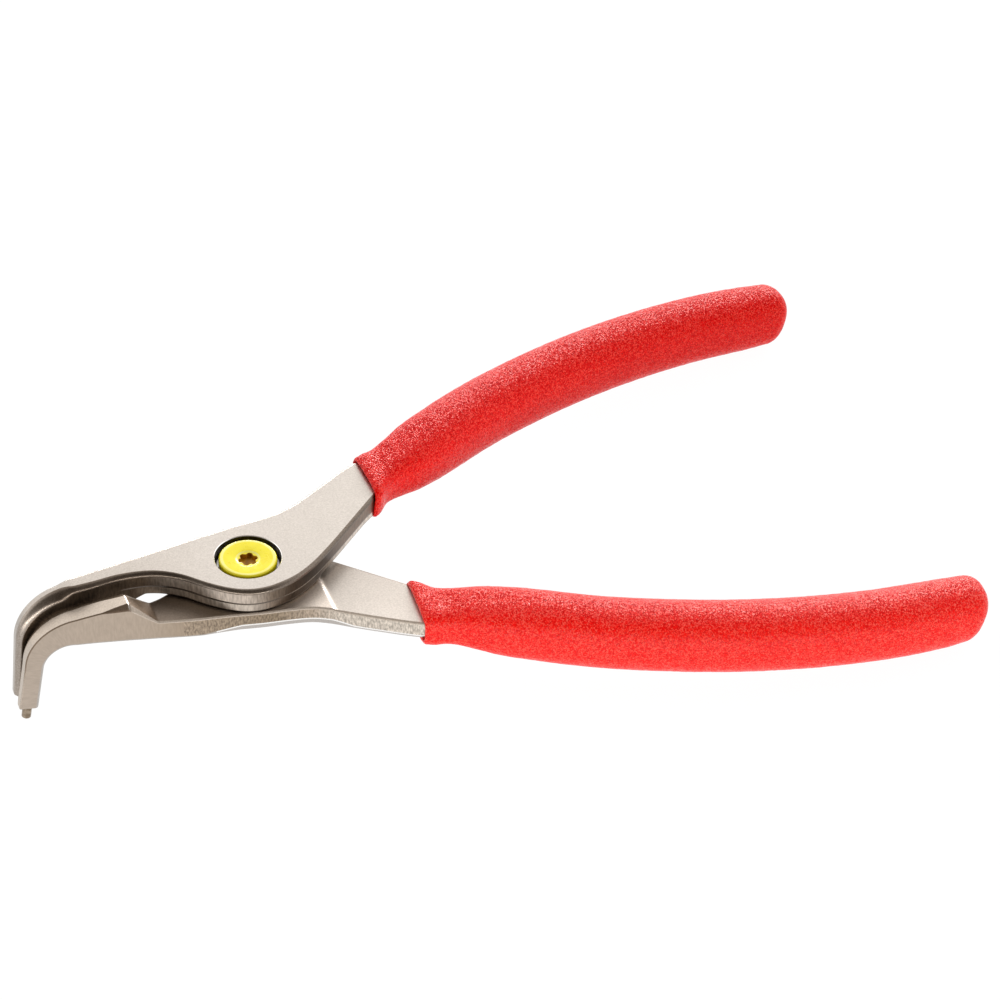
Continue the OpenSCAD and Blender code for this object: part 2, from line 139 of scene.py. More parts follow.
class ToolPlace:
    """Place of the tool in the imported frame, read from its one joint.

    The tool is drawn flat, in millimetres: the pivot axis is upright at the origin, the lap plane is at
    zero, +X runs to the handles and +Y to the far lever.
    """

    def __init__(self, joint: dict) -> None:
        """Reads the pivot's place and direction.

        Args:
            joint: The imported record's hinge; its axis points down through the tool.
        """
        up = -Vector(joint["axis"]).normalized()
        turn = Vector((0, 0, 1)).rotation_difference(up).to_matrix().to_4x4()
        self.matrix = Matrix.Translation(joint["pos_m"]) @ turn @ Matrix.Scale(MM, 4)

    def mirrored(self) -> Matrix:
        """Place for a piece of the near half, which is drawn on the far side."""
        return self.matrix @ Matrix.Scale(-1, 4, Vector((0, 1, 0)))


class Graph:
    """Node tree of one material, with short calls for the nodes that the finishes share."""

    def __init__(self, name: str) -> None:
        """Starts a material with one principled shader.

        Args:
            name: The material's name.
        """
        self.material = bpy.data.materials.new(name)
        self.material.use_nodes = True
        self.tree = self.material.node_tree
        self.shader = self.tree.nodes["Principled BSDF"]

    def add(self, kind: str, **values: object) -> bpy.types.Node:
        """A new node.

        Args:
            kind: Its type.
            **values: Properties to set on it.

        Returns:
            The node.
        """
        node = self.tree.nodes.new(kind)
        for key, value in values.items():
            setattr(node, key, value)
        return node

    def link(self, source: bpy.types.NodeSocket, target: bpy.types.NodeSocket) -> None:
        """Joins two sockets."""
        self.tree.links.new(source, target)

    def place(self, scale: Point = (1, 1, 1), surface: bool = False) -> bpy.types.NodeSocket:
        """Texture coordinates in millimetres.

        Args:
            scale: Multiplier along each axis.
            surface: True for the distances along and around the piece, false for its place in space.

        Returns:
            The vector socket.
        """
        source = self.add("ShaderNodeTexCoord")
        mapping = self.add("ShaderNodeMapping")
        unit = 1.0 if surface else 1 / MM
        mapping.inputs["Scale"].default_value = [unit * part for part in scale]
        self.link(source.outputs["UV" if surface else "Object"], mapping.inputs["Vector"])
        return mapping.outputs["Vector"]

    def noise(self, place: bpy.types.NodeSocket, scale: float, detail: float) -> bpy.types.NodeSocket:
        """Smooth noise, as a value from 0 to 1.

        Args:
            place: Texture coordinates.
            scale: Grains in each millimetre.
            detail: Octaves of finer noise on top.

        Returns:
            The value socket.
        """
        node = self.add("ShaderNodeTexNoise")
        node.inputs["Scale"].default_value = scale
        node.inputs["Detail"].default_value = detail
        self.link(place, node.inputs["Vector"])
        return node.outputs["Fac"]

    def specks(self, place: bpy.types.NodeSocket, scale: float) -> bpy.types.NodeSocket:
        """Specks that each have a value of their own, from 0 to 1.

        Args:
            place: Texture coordinates.
            scale: Specks in each millimetre.

        Returns:
            The value socket.
        """
        node = self.add("ShaderNodeTexVoronoi")
        node.inputs["Scale"].default_value = scale
        self.link(place, node.inputs["Vector"])
        return node.outputs["Color"]

    def ramp(self, value: bpy.types.NodeSocket, stops: Sequence[Stop]) -> bpy.types.NodeSocket:
        """Colour that follows a value.

        Args:
            value: What picks the colour, from 0 to 1.
            stops: Values with their colours, in rising order.

        Returns:
            The colour socket.
        """
        node = self.add("ShaderNodeValToRGB")
        elements = node.color_ramp.elements
        elements[0].position = stops[0][0]
        elements[1].position = stops[-1][0]
        for spot, _ in stops[1:-1]:
            elements.new(spot)
        for element, (_, tone) in zip(elements, stops):
            element.color = (*tone, 1)
        self.link(value, node.inputs["Fac"])
        return node.outputs["Color"]

    def along(self, stops: Sequence[Stop]) -> bpy.types.NodeSocket:
        """Colour that changes along the piece.

        Args:
            stops: Distances along the piece, in millimetres, with their colours.

        Returns:
            The colour socket.
        """
        start = stops[0][0]
        length = stops[-1][0] - start
        parts = self.add("ShaderNodeSeparateXYZ")
        share = self.add("ShaderNodeMapRange")
        share.inputs["From Min"].default_value = start
        share.inputs["From Max"].default_value = start + length
        self.link(self.place(surface=True), parts.inputs["Vector"])
        self.link(parts.outputs["X"], share.inputs["Value"])
        return self.ramp(share.outputs["Result"], [((spot - start) / length, tone) for spot, tone in stops])

    def times(self, a: bpy.types.NodeSocket, b: bpy.types.NodeSocket) -> bpy.types.NodeSocket:
        """Product of two colours.

        Args:
            a: First colour.
            b: Second colour.

        Returns:
            The colour socket.
        """
        node = self.add("ShaderNodeMix", data_type="RGBA", blend_type="MULTIPLY")
        node.inputs[0].default_value = 1.0
        self.link(a, node.inputs[6])
        self.link(b, node.inputs[7])
        return node.outputs[2]

    def tint(self, color: bpy.types.NodeSocket) -> None:
        """Colours the shader."""
        self.link(color, self.shader.inputs["Base Color"])

    def roughen(self, value: bpy.types.NodeSocket, low: float, high: float) -> None:
        """Varies the shader's roughness.

        Args:
            value: What sets the roughness, from 0 to 1.
            low: Roughness at 0.
            high: Roughness at 1.
        """
        node = self.add("ShaderNodeMapRange")
        node.inputs["To Min"].default_value = low
        node.inputs["To Max"].default_value = high
        self.link(value, node.inputs["Value"])
        self.link(node.outputs["Result"], self.shader.inputs["Roughness"])

    def tilted(self, specks: bpy.types.NodeSocket, tilt: float) -> bpy.types.NodeSocket:
        """Surface direction with each speck leaning its own way.

        Args:
            specks: The specks' own colours.
            tilt: How far a speck may lean, as a share of the upright direction.

        Returns:
            The direction socket.
        """
        lean = self.add("ShaderNodeVectorMath", operation="SUBTRACT")
        lean.inputs[1].default_value = (0.5, 0.5, 0.5)
        added = self.add("ShaderNodeVectorMath", operation="MULTIPLY_ADD")
        added.inputs[1].default_value = (tilt, tilt, tilt)
        upright = self.add("ShaderNodeVectorMath", operation="NORMALIZE")
        self.link(specks, lean.inputs[0])
        self.link(lean.outputs["Vector"], added.inputs[0])
        self.link(self.add("ShaderNodeNewGeometry").outputs["Normal"], added.inputs[2])
        self.link(added.outputs["Vector"], upright.inputs[0])
        return upright.outputs["Vector"]

    def bump(self, layers: Sequence[tuple[bpy.types.NodeSocket, float]],
             under: bpy.types.NodeSocket | None = None) -> None:
        """Raises the surface.

        Args:
            layers: Height sockets, each with its full height in millimetres.
            under: Direction of the surface that is raised, where it isn't the mesh's own.
        """
        for height, rise in layers:
            node = self.add("ShaderNodeBump")
            node.inputs["Strength"].default_value = 1.0
            node.inputs["Distance"].default_value = rise * MM
            self.link(height, node.inputs["Height"])
            if under is not None:
                self.link(under, node.inputs["Normal"])
            under = node.outputs["Normal"]
        self.link(under, self.shader.inputs["Normal"])


@dataclass(frozen=True)
class BlastedSteel:
    """Plated steel with a fine blasted grain; tones along the lever paint shade and light on it, in
    millimetres.
    """

    name: str = "blasted_steel"
    dark: Color = (0.43, 0.395, 0.36)
    light: Color = (0.53, 0.49, 0.45)
    rough: Pair = (0.28, 0.37)
    grain: float = 3.2
    grain_rise: float = 0.012
    tones: tuple[Stop, ...] = ()
    blotch: float = 0.25
    blotch_rise: float = 0.02

    def material(self) -> bpy.types.Material:
        """Builds the finish.

        Returns:
            The material.
        """
        graph = Graph(self.name)
        graph.shader.inputs["Metallic"].default_value = 1.0
        place = graph.place()
        grain = graph.noise(place, self.grain, 2)
        blotch = graph.noise(place, self.blotch, 3)
        color = graph.ramp(grain, [(0.3, self.dark), (0.7, self.light)])
        graph.tint(graph.times(graph.along(self.tones), color) if self.tones else color)
        graph.roughen(blotch, *self.rough)
        graph.bump([(grain, self.grain_rise), (blotch, self.blotch_rise)])
        return graph.material


@dataclass(frozen=True)
class MilledSteel:
    """Plated steel with cutter marks up and down the wall, whose tone changes along it as painted shade and
    light, in millimetres.
    """

    name: str
    tones: tuple[Stop, ...]
    contrast: Pair = (0.68, 1.06)
    rough: Pair = (0.28, 0.4)
    marks: float = 2.8
    stretch: float = 0.2
    mark_rise: float = 0.015
    pits: float = 2.4
    pit_rise: float = 0.01

    def material(self) -> bpy.types.Material:
        """Builds the finish.

        Returns:
            The material.
        """
        graph = Graph(self.name)
        graph.shader.inputs["Metallic"].default_value = 1.0
        streak = graph.noise(graph.place((1, self.stretch, 1), surface=True), self.marks, 3)
        pits = graph.noise(graph.place(), self.pits, 3)
        low, high = self.contrast
        shade = graph.ramp(streak, [(0.35, (low, low, low)), (0.65, (high, high, high))])
        graph.tint(graph.times(graph.along(self.tones), shade))
        graph.roughen(streak, *self.rough)
        graph.bump([(streak, self.mark_rise), (pits, self.pit_rise)])
        return graph.material


@dataclass(frozen=True)
class DippedVinyl:
    """Matt vinyl with a pebbled skin that glitters in fine specks, in millimetres."""

    name: str = "dipped_vinyl"
    dark: Color = (0.66, 0.001, 0.001)
    middle: Color = (0.9, 0.003, 0.001)
    light: Color = (0.97, 0.095, 0.065)
    gloss: float = 0.19
    rough: float = 0.24
    speck: float = 5.0
    tilt: float = 0.5
    pebble: float = 3.0
    pebble_rise: float = 0.1

    def material(self) -> bpy.types.Material:
        """Builds the finish.

        Returns:
            The material.
        """
        graph = Graph(self.name)
        graph.shader.inputs["Roughness"].default_value = self.rough
        graph.shader.inputs["Specular IOR Level"].default_value = self.gloss
        place = graph.place()
        pebble = graph.noise(place, self.pebble, 3)
        specks = graph.specks(place, self.speck)
        graph.tint(graph.ramp(specks, [(0.2, self.dark), (0.5, self.middle), (0.85, self.light)]))
        graph.bump([(pebble, self.pebble_rise)], graph.tilted(specks, self.tilt))
        return graph.material


@dataclass(frozen=True)
class GlossCoat:
    """Glossy coat of colour over metal, in millimetres."""

    name: str = "screw_yellow"
    dark: Color = (0.93, 0.79, 0.006)
    light: Color = (0.98, 0.875, 0.012)
    rough: Pair = (0.22, 0.34)
    coat: float = 0.2
    coat_rough: float = 0.05
    gloss: float = 0.35
    flow: float = 0.6
    flow_rise: float = 0.015

    def material(self) -> bpy.types.Material:
        """Builds the finish.

        Returns:
            The material.
        """
        graph = Graph(self.name)
        graph.shader.inputs["Specular IOR Level"].default_value = self.gloss
        graph.shader.inputs["Coat Weight"].default_value = self.coat
        graph.shader.inputs["Coat Roughness"].default_value = self.coat_rough
        flow = graph.noise(graph.place(), self.flow, 2)
        graph.tint(graph.ramp(flow, [(0.3, self.dark), (0.7, self.light)]))
        graph.roughen(flow, *self.rough)
        graph.bump([(flow, self.flow_rise)])
        return graph.material


@dataclass(frozen=True)
class WireSteel:
    """Drawn or turned steel with a stained, finely grained surface, in millimetres."""

    name: str
    dark: Color
    light: Color
    rough: Pair = (0.28, 0.42)
    stain: float = 1.2
    grain: float = 6.0
    grain_rise: float = 0.006

    def material(self) -> bpy.types.Material:
        """Builds the finish.

        Returns:
            The material.
        """
        graph = Graph(self.name)
        graph.shader.inputs["Metallic"].default_value = 1.0
        place = graph.place()
        stain = graph.noise(place, self.stain, 3)
        grain = graph.noise(place, self.grain, 2)
        graph.tint(graph.ramp(stain, [(0.35, self.dark), (0.65, self.light)]))
        graph.roughen(stain, *self.rough)
        graph.bump([(grain, self.grain_rise)])
        return graph.material


class Surface(IntEnum):
    """Differently finished surfaces of a lever."""

    FACE = 0
    EDGE = 1
    WALL = 2
    LOWER = 3
    # bores and recesses, in near-black steel that is painted shade
    TURNED = 4
    RIM = 5
    # painted highlight
    HIGHLIT = 6
    SIDE = 7


class Finishes:
    """Every material of the tool, made once."""

    def __init__(self) -> None:
        """Makes the materials."""
        # painted shade: the top face is a little darker along the jaw
        face = BlastedSteel(tones=(
            (-60, (0.91, 0.9, 0.89)), (-22, (0.91, 0.9, 0.89)), (-8, (1, 1, 1)), (40, (1, 1, 1))))
        # painted shade: the bores and the head's recess are near black
        shaded_turned_steel = WireSteel("shaded_turned_steel", (0.05, 0.042, 0.036), (0.13, 0.11, 0.095))
        rim = BlastedSteel("rim_steel", (0.4, 0.365, 0.335), (0.5, 0.46, 0.425), (0.26, 0.34), 4, 0.006)
        # painted highlight: near-white steel on ridges, edges and the recess's rim
        highlit = BlastedSteel("highlit_steel", (0.9, 0.87, 0.84), (0.97, 0.95, 0.93), (0.2, 0.3), 4, 0.004)
        side = MilledSteel("side_steel", ((-60, (0.5, 0.43, 0.37)), (40, (0.52, 0.45, 0.39))))
        shared = [finish.material() for finish in (shaded_turned_steel, rim, highlit, side)]
        self.far_lever = [*(finish.material() for finish in (face, *self.far_walls())), *shared]
        # painted shade and painted light: the lap is darkened under the far jaw and hump and brightened
        # round the eye and the plateau, standing in for the far lever's shadow and reflection
        lap = BlastedSteel("lap_steel", (0.35, 0.32, 0.29), (0.43, 0.395, 0.36), (0.34, 0.42), tones=(
            (-60, (1.35, 1.28, 1.2)), (-24.7, (1.35, 1.28, 1.2)), (-24.2, (0.95, 0.84, 0.74)),
            (-20, (0.7, 0.6, 0.52)), (-19, (0.6, 0.53, 0.47)),
            (-8, (0.75, 0.68, 0.6)), (0, (1.4, 1.4, 1.4)), (7, (2.1, 2.05, 2.0)),
            (12.4, (1.9, 1.85, 1.8)), (14, (1.4, 1.4, 1.4)), (40, (1.4, 1.4, 1.4))))
        self.near_lever = [*(finish.material() for finish in (lap, *self.near_walls())), *shared]
        self.near_vinyl = DippedVinyl().material()
        # painted shade: the far grip is a darker, less glossy copy of the same vinyl
        shaded_far_vinyl = DippedVinyl("shaded_far_vinyl", (0.55, 0.001, 0.001), (0.76, 0.001, 0.001),
                                (0.9, 0.055, 0.036), gloss=0.12)
        self.shaded_far_vinyl = shaded_far_vinyl.material()
        self.coat = GlossCoat().material()
        # painted shade: the socket is a dark brown gold, not the head's yellow
        socket = GlossCoat("shaded_socket_yellow", (0.26, 0.1, 0.001), (0.75, 0.38, 0.004), (0.35, 0.5), 0.03)
        self.socket = socket.material()
        # painted highlight: pale yellow on the head's rim and round the socket's dip
        highlight_coat = GlossCoat("highlight_yellow", (1.0, 0.92, 0.16), (1.0, 0.96, 0.28), (0.15, 0.25), 0.5)
        self.highlight_coat = highlight_coat.material()
        self.pin = WireSteel("pin_steel", (0.19, 0.14, 0.095), (0.36, 0.29, 0.22), (0.14, 0.24)).material()
        self.zinc = WireSteel("zinc_steel", (0.62, 0.62, 0.63), (0.74, 0.74, 0.75)).material()
        self.spring = WireSteel("spring_steel", (0.26, 0.26, 0.28), (0.42, 0.42, 0.45)).material()

    @staticmethod
    def far_walls() -> tuple[BlastedSteel, MilledSteel, MilledSteel]:
        """Finishes of the far lever's sides: painted light round the eye, painted shade and reflection along
        jaw and handle.

        Returns:
            Those of its edge, wall and lower band.
        """
        # painted shade: the edge is near black, darker still along the jaw; its tones paint light on it near
        # the tip
        edge = BlastedSteel("far_edge", (0.13, 0.105, 0.085), (0.21, 0.175, 0.145), (0.26, 0.36), 4, 0.006, (
            (-60, (2.1, 2.2, 2.3)), (-41, (1.9, 2.0, 2.1)), (-36, (0.75, 0.72, 0.7)),
            (-22, (0.75, 0.72, 0.7)), (-14, (0.6, 0.58, 0.56)), (-8, (1, 1, 1)), (40, (1, 1, 1))))
        # painted shade and painted reflection: the wall is dark along the jaw and right of the eye, bright
        # only round the eye
        wall = MilledSteel("far_wall", (
            (-60, (0.15, 0.112, 0.08)), (-27, (0.11, 0.082, 0.058)), (-20, (0.13, 0.098, 0.07)),
            (-13, (0.56, 0.475, 0.4)), (-3, (0.56, 0.475, 0.4)), (1.5, (0.2, 0.15, 0.11)),
            (5, (0.08, 0.055, 0.038)), (9, (0.035, 0.021, 0.013)), (14, (0.06, 0.04, 0.028)),
            (20, (0.2, 0.14, 0.1)), (40, (0.27, 0.19, 0.135))))
        # painted shade and painted light: the lower band is dark along the jaw and beside the eye, bright
        # round the eye and along the handle
        lower = MilledSteel("far_lower", (
            (-22, (0.12, 0.09, 0.065)), (-14, (0.52, 0.445, 0.37)), (-3, (0.57, 0.495, 0.42)),
            (1.5, (0.25, 0.19, 0.145)), (6, (0.05, 0.033, 0.022)), (13, (0.06, 0.042, 0.03)),
            (17, (0.5, 0.42, 0.35)), (21, (0.7, 0.61, 0.525)), (40, (0.75, 0.66, 0.57))))
        return edge, wall, lower

    @staticmethod
    def near_walls() -> tuple[BlastedSteel, MilledSteel, MilledSteel]:
        """Finishes of the near lever's sides: painted shade below the joint, painted light at the handle.

        Returns:
            Those of its edge, wall and lower band.
        """
        # painted shade: the edge darkens over the jaw and most of all at the hump
        edge = BlastedSteel("near_edge", (0.42, 0.365, 0.31), (0.54, 0.475, 0.41), (0.6, 0.7), 4, 0.006, (
            (-60, (1, 1, 1)), (-50, (1, 1, 1)), (-45, (0.5, 0.44, 0.38)), (-33, (0.42, 0.37, 0.32)),
            (-28, (0.3, 0.25, 0.21)), (-24.6, (0.3, 0.25, 0.21)), (-24, (1, 1, 1)), (40, (1, 1, 1))))
        # painted shade and painted light: the sides darken towards the joint and grow pale along the handle
        tones = (
            (-60, (0.5, 0.42, 0.35)), (-22, (0.46, 0.375, 0.3)), (-14, (0.4, 0.315, 0.235)),
            (2, (0.3, 0.23, 0.16)), (9, (0.48, 0.385, 0.3)), (14, (0.66, 0.585, 0.5)),
            (40, (0.76, 0.68, 0.59)))
        wall = MilledSteel("near_wall", tones, (0.86, 0.96))
        lower = MilledSteel("near_lower", tones, (0.55, 1.12), marks=3.0, stretch=0.4,
                            mark_rise=0.03, pit_rise=0.04)
        return edge, wall, lower


@dataclass
class Draft:
    """Mesh in the making: points, faces and what each face is finished with."""

    points: list[Point] = field(default_factory=list)
    faces: list[tuple[int, ...]] = field(default_factory=list)
    surfaces: list[int] = field(default_factory=list)
    spots: list[tuple[Pair, ...]] = field(default_factory=list)

    def ring(self, points: Sequence[Point]) -> list[int]:
        """Adds the points of a ring.

        Args:
            points: The points, in order.

        Returns:
            Their numbers.
        """
        start = len(self.points)
        self.points.extend(points)
        return list(range(start, start + len(points)))

    def bridge(self, a: Sequence[int], b: Sequence[int], surfaces: Sequence[int], along: Pair) -> None:
        """Joins two closed rings with a band of quads, or a ring and a single point with triangles.

        Args:
            a: First ring.
            b: Second ring, of the same length, or either ring a single point.
            surfaces: Finish of each quad round the band.
            along: Distances of the two rings along the piece.
        """
        count = max(len(a), len(b))
        around = self.girth(a if len(a) == count else b)
        for j in range(count):
            k = (j + 1) % count
            corners = [(a[j % len(a)], along[0], around[j]), (a[k % len(a)], along[0], around[j + 1]),
                       (b[k % len(b)], along[1], around[j + 1]), (b[j % len(b)], along[1], around[j])]
            unique = [c for i, c in enumerate(corners) if c[0] != corners[i - 1][0]]
            self.faces.append(tuple(c[0] for c in unique))
            self.spots.append(tuple((c[1], c[2]) for c in unique))
            self.surfaces.append(surfaces[j])

    def girth(self, ring: Sequence[int]) -> list[float]:
        """Distances round a closed ring.

        Args:
            ring: Numbers of its points.

        Returns:
            One distance for each point, then the whole way round.
        """
        points = [Vector(self.points[i]) for i in ring]
        total = [0.0]
        for j, point in enumerate(points):
            total.append(total[-1] + (points[(j + 1) % len(points)] - point).length)
        return total

    def cap(self, ring: Sequence[int], surface: int) -> None:
        """Closes a ring with one face.

        Args:
            ring: Numbers of its points.
            surface: Finish of the face.
        """
        self.faces.append(tuple(ring))
        self.spots.append(tuple((self.points[i][1], self.points[i][2]) for i in ring))
        self.surfaces.append(surface)

    def loft(self, rings: Sequence[Sequence[Point]], surfaces: Sequence[Sequence[int]],
             along: Sequence[float]) -> None:
        """Skins a row of rings and closes both ends.

        Args:
            rings: Rings of equal length.
            surfaces: For each ring, the finish of each quad round the band that starts there.
            along: Distance of each ring along the piece.
        """
        placed = [self.ring(points) for points in rings]
        for i in range(len(placed) - 1):
            self.bridge(placed[i], placed[i + 1], surfaces[i], (along[i], along[i + 1]))
        self.cap(placed[0], surfaces[0][-1])
        self.cap(placed[-1], surfaces[-1][-1])

    def mesh(self, name: str) -> bpy.types.Mesh:
        """Makes the mesh, with its normals outward.

        Args:
            name: The mesh's name.

        Returns:
            The mesh.
        """
        mesh = bpy.data.meshes.new(name)
        mesh.from_pydata(self.points, [], self.faces)
        layer = mesh.uv_layers.new(name="surface")
        flat = [part for face in self.spots for spot in face for part in spot]
        layer.data.foreach_set("uv", flat)
        mesh.polygons.foreach_set("material_index", self.surfaces)
        mesh.update()
        if signed_volume(mesh) < 0:
            mesh.flip_normals()
        return mesh


def signed_volume(mesh: bpy.types.Mesh) -> float:
    """Volume inside a closed mesh.

    Args:
        mesh: The mesh.

    Returns:
        The volume, negative where the faces look inward.
    """
    total = 0.0
    for face in mesh.polygons:
        spots = [mesh.vertices[i].co for i in face.vertices]
        for i in range(1, len(spots) - 1):
            total += spots[0].dot(spots[i].cross(spots[i + 1])) / 6
    return total


def turned(profile: Sequence[Pair], name: str, surface: int = 0, sides: int = 96,
           highlit_band: int = -1) -> bpy.types.Mesh:
    """Solid of revolution about Z.

    Args:
        profile: [radius, height] points from the axis, round the solid and back to the axis, or a closed
            profile clear of the axis.
        name: The mesh's name.
        surface: Finish of its faces.
        sides: Faces round the axis.
        highlit_band: Stretch of the profile that gets a painted highlight, if any.

    Returns:
        The mesh, in millimetres.
    """
    draft = Draft()
    angles = [2 * math.pi * i / sides for i in range(sides)]
    on_axis = profile[0][0] == 0
    rows = list(profile) if on_axis else [*profile, profile[0]]
    rings = []
    for r, z in rows:
        rings.append([(0, 0, z)] if r == 0 else [(r * math.cos(a), r * math.sin(a), z) for a in angles])
    placed = [draft.ring(ring) for ring in rings]
    if not on_axis:
        placed[-1] = placed[0]
    for i in range(len(placed) - 1):
        finish = Surface.HIGHLIT if i == highlit_band else surface
        draft.bridge(placed[i], placed[i + 1], [finish] * sides, (rows[i][1], rows[i + 1][1]))
    if not on_axis:
        draft.points = draft.points[: len(draft.points) - sides]
    return draft.mesh(name)


def eased(points: Sequence[Pair], radius: float, steps: int = 4) -> list[Pair]:
    """A turned profile with its corners rounded, apart from those on the axis."""
    rounded = filleted(points, [0 if p[0] == 0 else radius for p in points], steps)
    return [p for i, p in enumerate(rounded) if i == 0 or math.dist(p, rounded[i - 1]) > 1e-6]


class Piece:
    """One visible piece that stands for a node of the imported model."""

    def __init__(self, name: str, mesh: bpy.types.Mesh, materials: Sequence[bpy.types.Material]) -> None:
        """Makes the object.

        Args:
            name: The piece's name.
            mesh: Its mesh, in millimetres.
            materials: Its materials, in the order of the mesh's finish numbers.
        """
        self.object = bpy.data.objects.new(name, mesh)
        bpy.context.scene.collection.objects.link(self.object)
        for material in materials:
            mesh.materials.append(material)

    def cut(self, cutters: Sequence[bpy.types.Mesh]) -> None:
        """Cuts closed meshes out of the piece.

        Args:
            cutters: Meshes in the piece's own millimetres, with the finish number that the cut takes.
        """
        helpers = []
        for mesh in cutters:
            helper = bpy.data.objects.new("cutter", mesh)
            bpy.context.scene.collection.objects.link(helper)
            helpers.append(helper)
            step = self.object.modifiers.new("cut", "BOOLEAN")
            step.operation = "DIFFERENCE"
            step.solver = "EXACT"
            step.object = helper
        graph = bpy.context.evaluated_depsgraph_get()
        result = bpy.data.meshes.new_from_object(
            self.object.evaluated_get(graph), preserve_all_data_layers=True, depsgraph=graph)
        self.object.modifiers.clear()
        self.object.data = result
        for helper in helpers:
            bpy.data.objects.remove(helper)

    def settle(self, place: Matrix, body: str, node: str, crease: float = 38) -> None:
        """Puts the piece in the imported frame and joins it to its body.

        Args:
            place: From the piece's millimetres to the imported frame.
            body: Body that it rides on.
            node: Node that it stands for.
            crease: Angle in degrees above which an edge stays sharp.
        """
        mesh = self.object.data
        mesh.transform(place)
        if place.determinant() < 0:
            mesh.flip_normals()
        mesh.polygons.foreach_set("use_smooth", [True] * len(mesh.polygons))
        mesh.set_sharp_from_angle(angle=math.radians(crease))
        weigh = self.object.modifiers.new("even_normals", "WEIGHTED_NORMAL")
        weigh.keep_sharp = True
        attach(self.object, body)
        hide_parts(node)
        LOG.info("%s: %d faces, on %s", self.object.name, len(mesh.polygons), body)


@dataclass
class HandleLine:
    """Middle line of a handle in plan, from the grip's mouth to its end, in millimetres."""

    mouth_x: float = 28.0
    mouth_y: float = 16.0
    reach: float = 131.2
    spread: float = 47.2
    shape: ClassVar[list[Pair]] = [
        (0, 0), (0.165, 0.301), (0.33, 0.574), (0.55, 0.826), (0.775, 0.968), (1, 1)]

    def y(self, x: float) -> float:
        """Distance of the line from the tool's middle plane."""
        share = (x - self.mouth_x) / (self.reach - self.mouth_x)
        return self.mouth_y + curve(share, self.shape) * (self.spread - self.mouth_y)

    def across(self, x: float) -> float:
        """How much longer a cut square to the handle measures along Y."""
        step = 0.1
        return math.hypot(1, (self.y(x + step) - self.y(x - step)) / (2 * step))


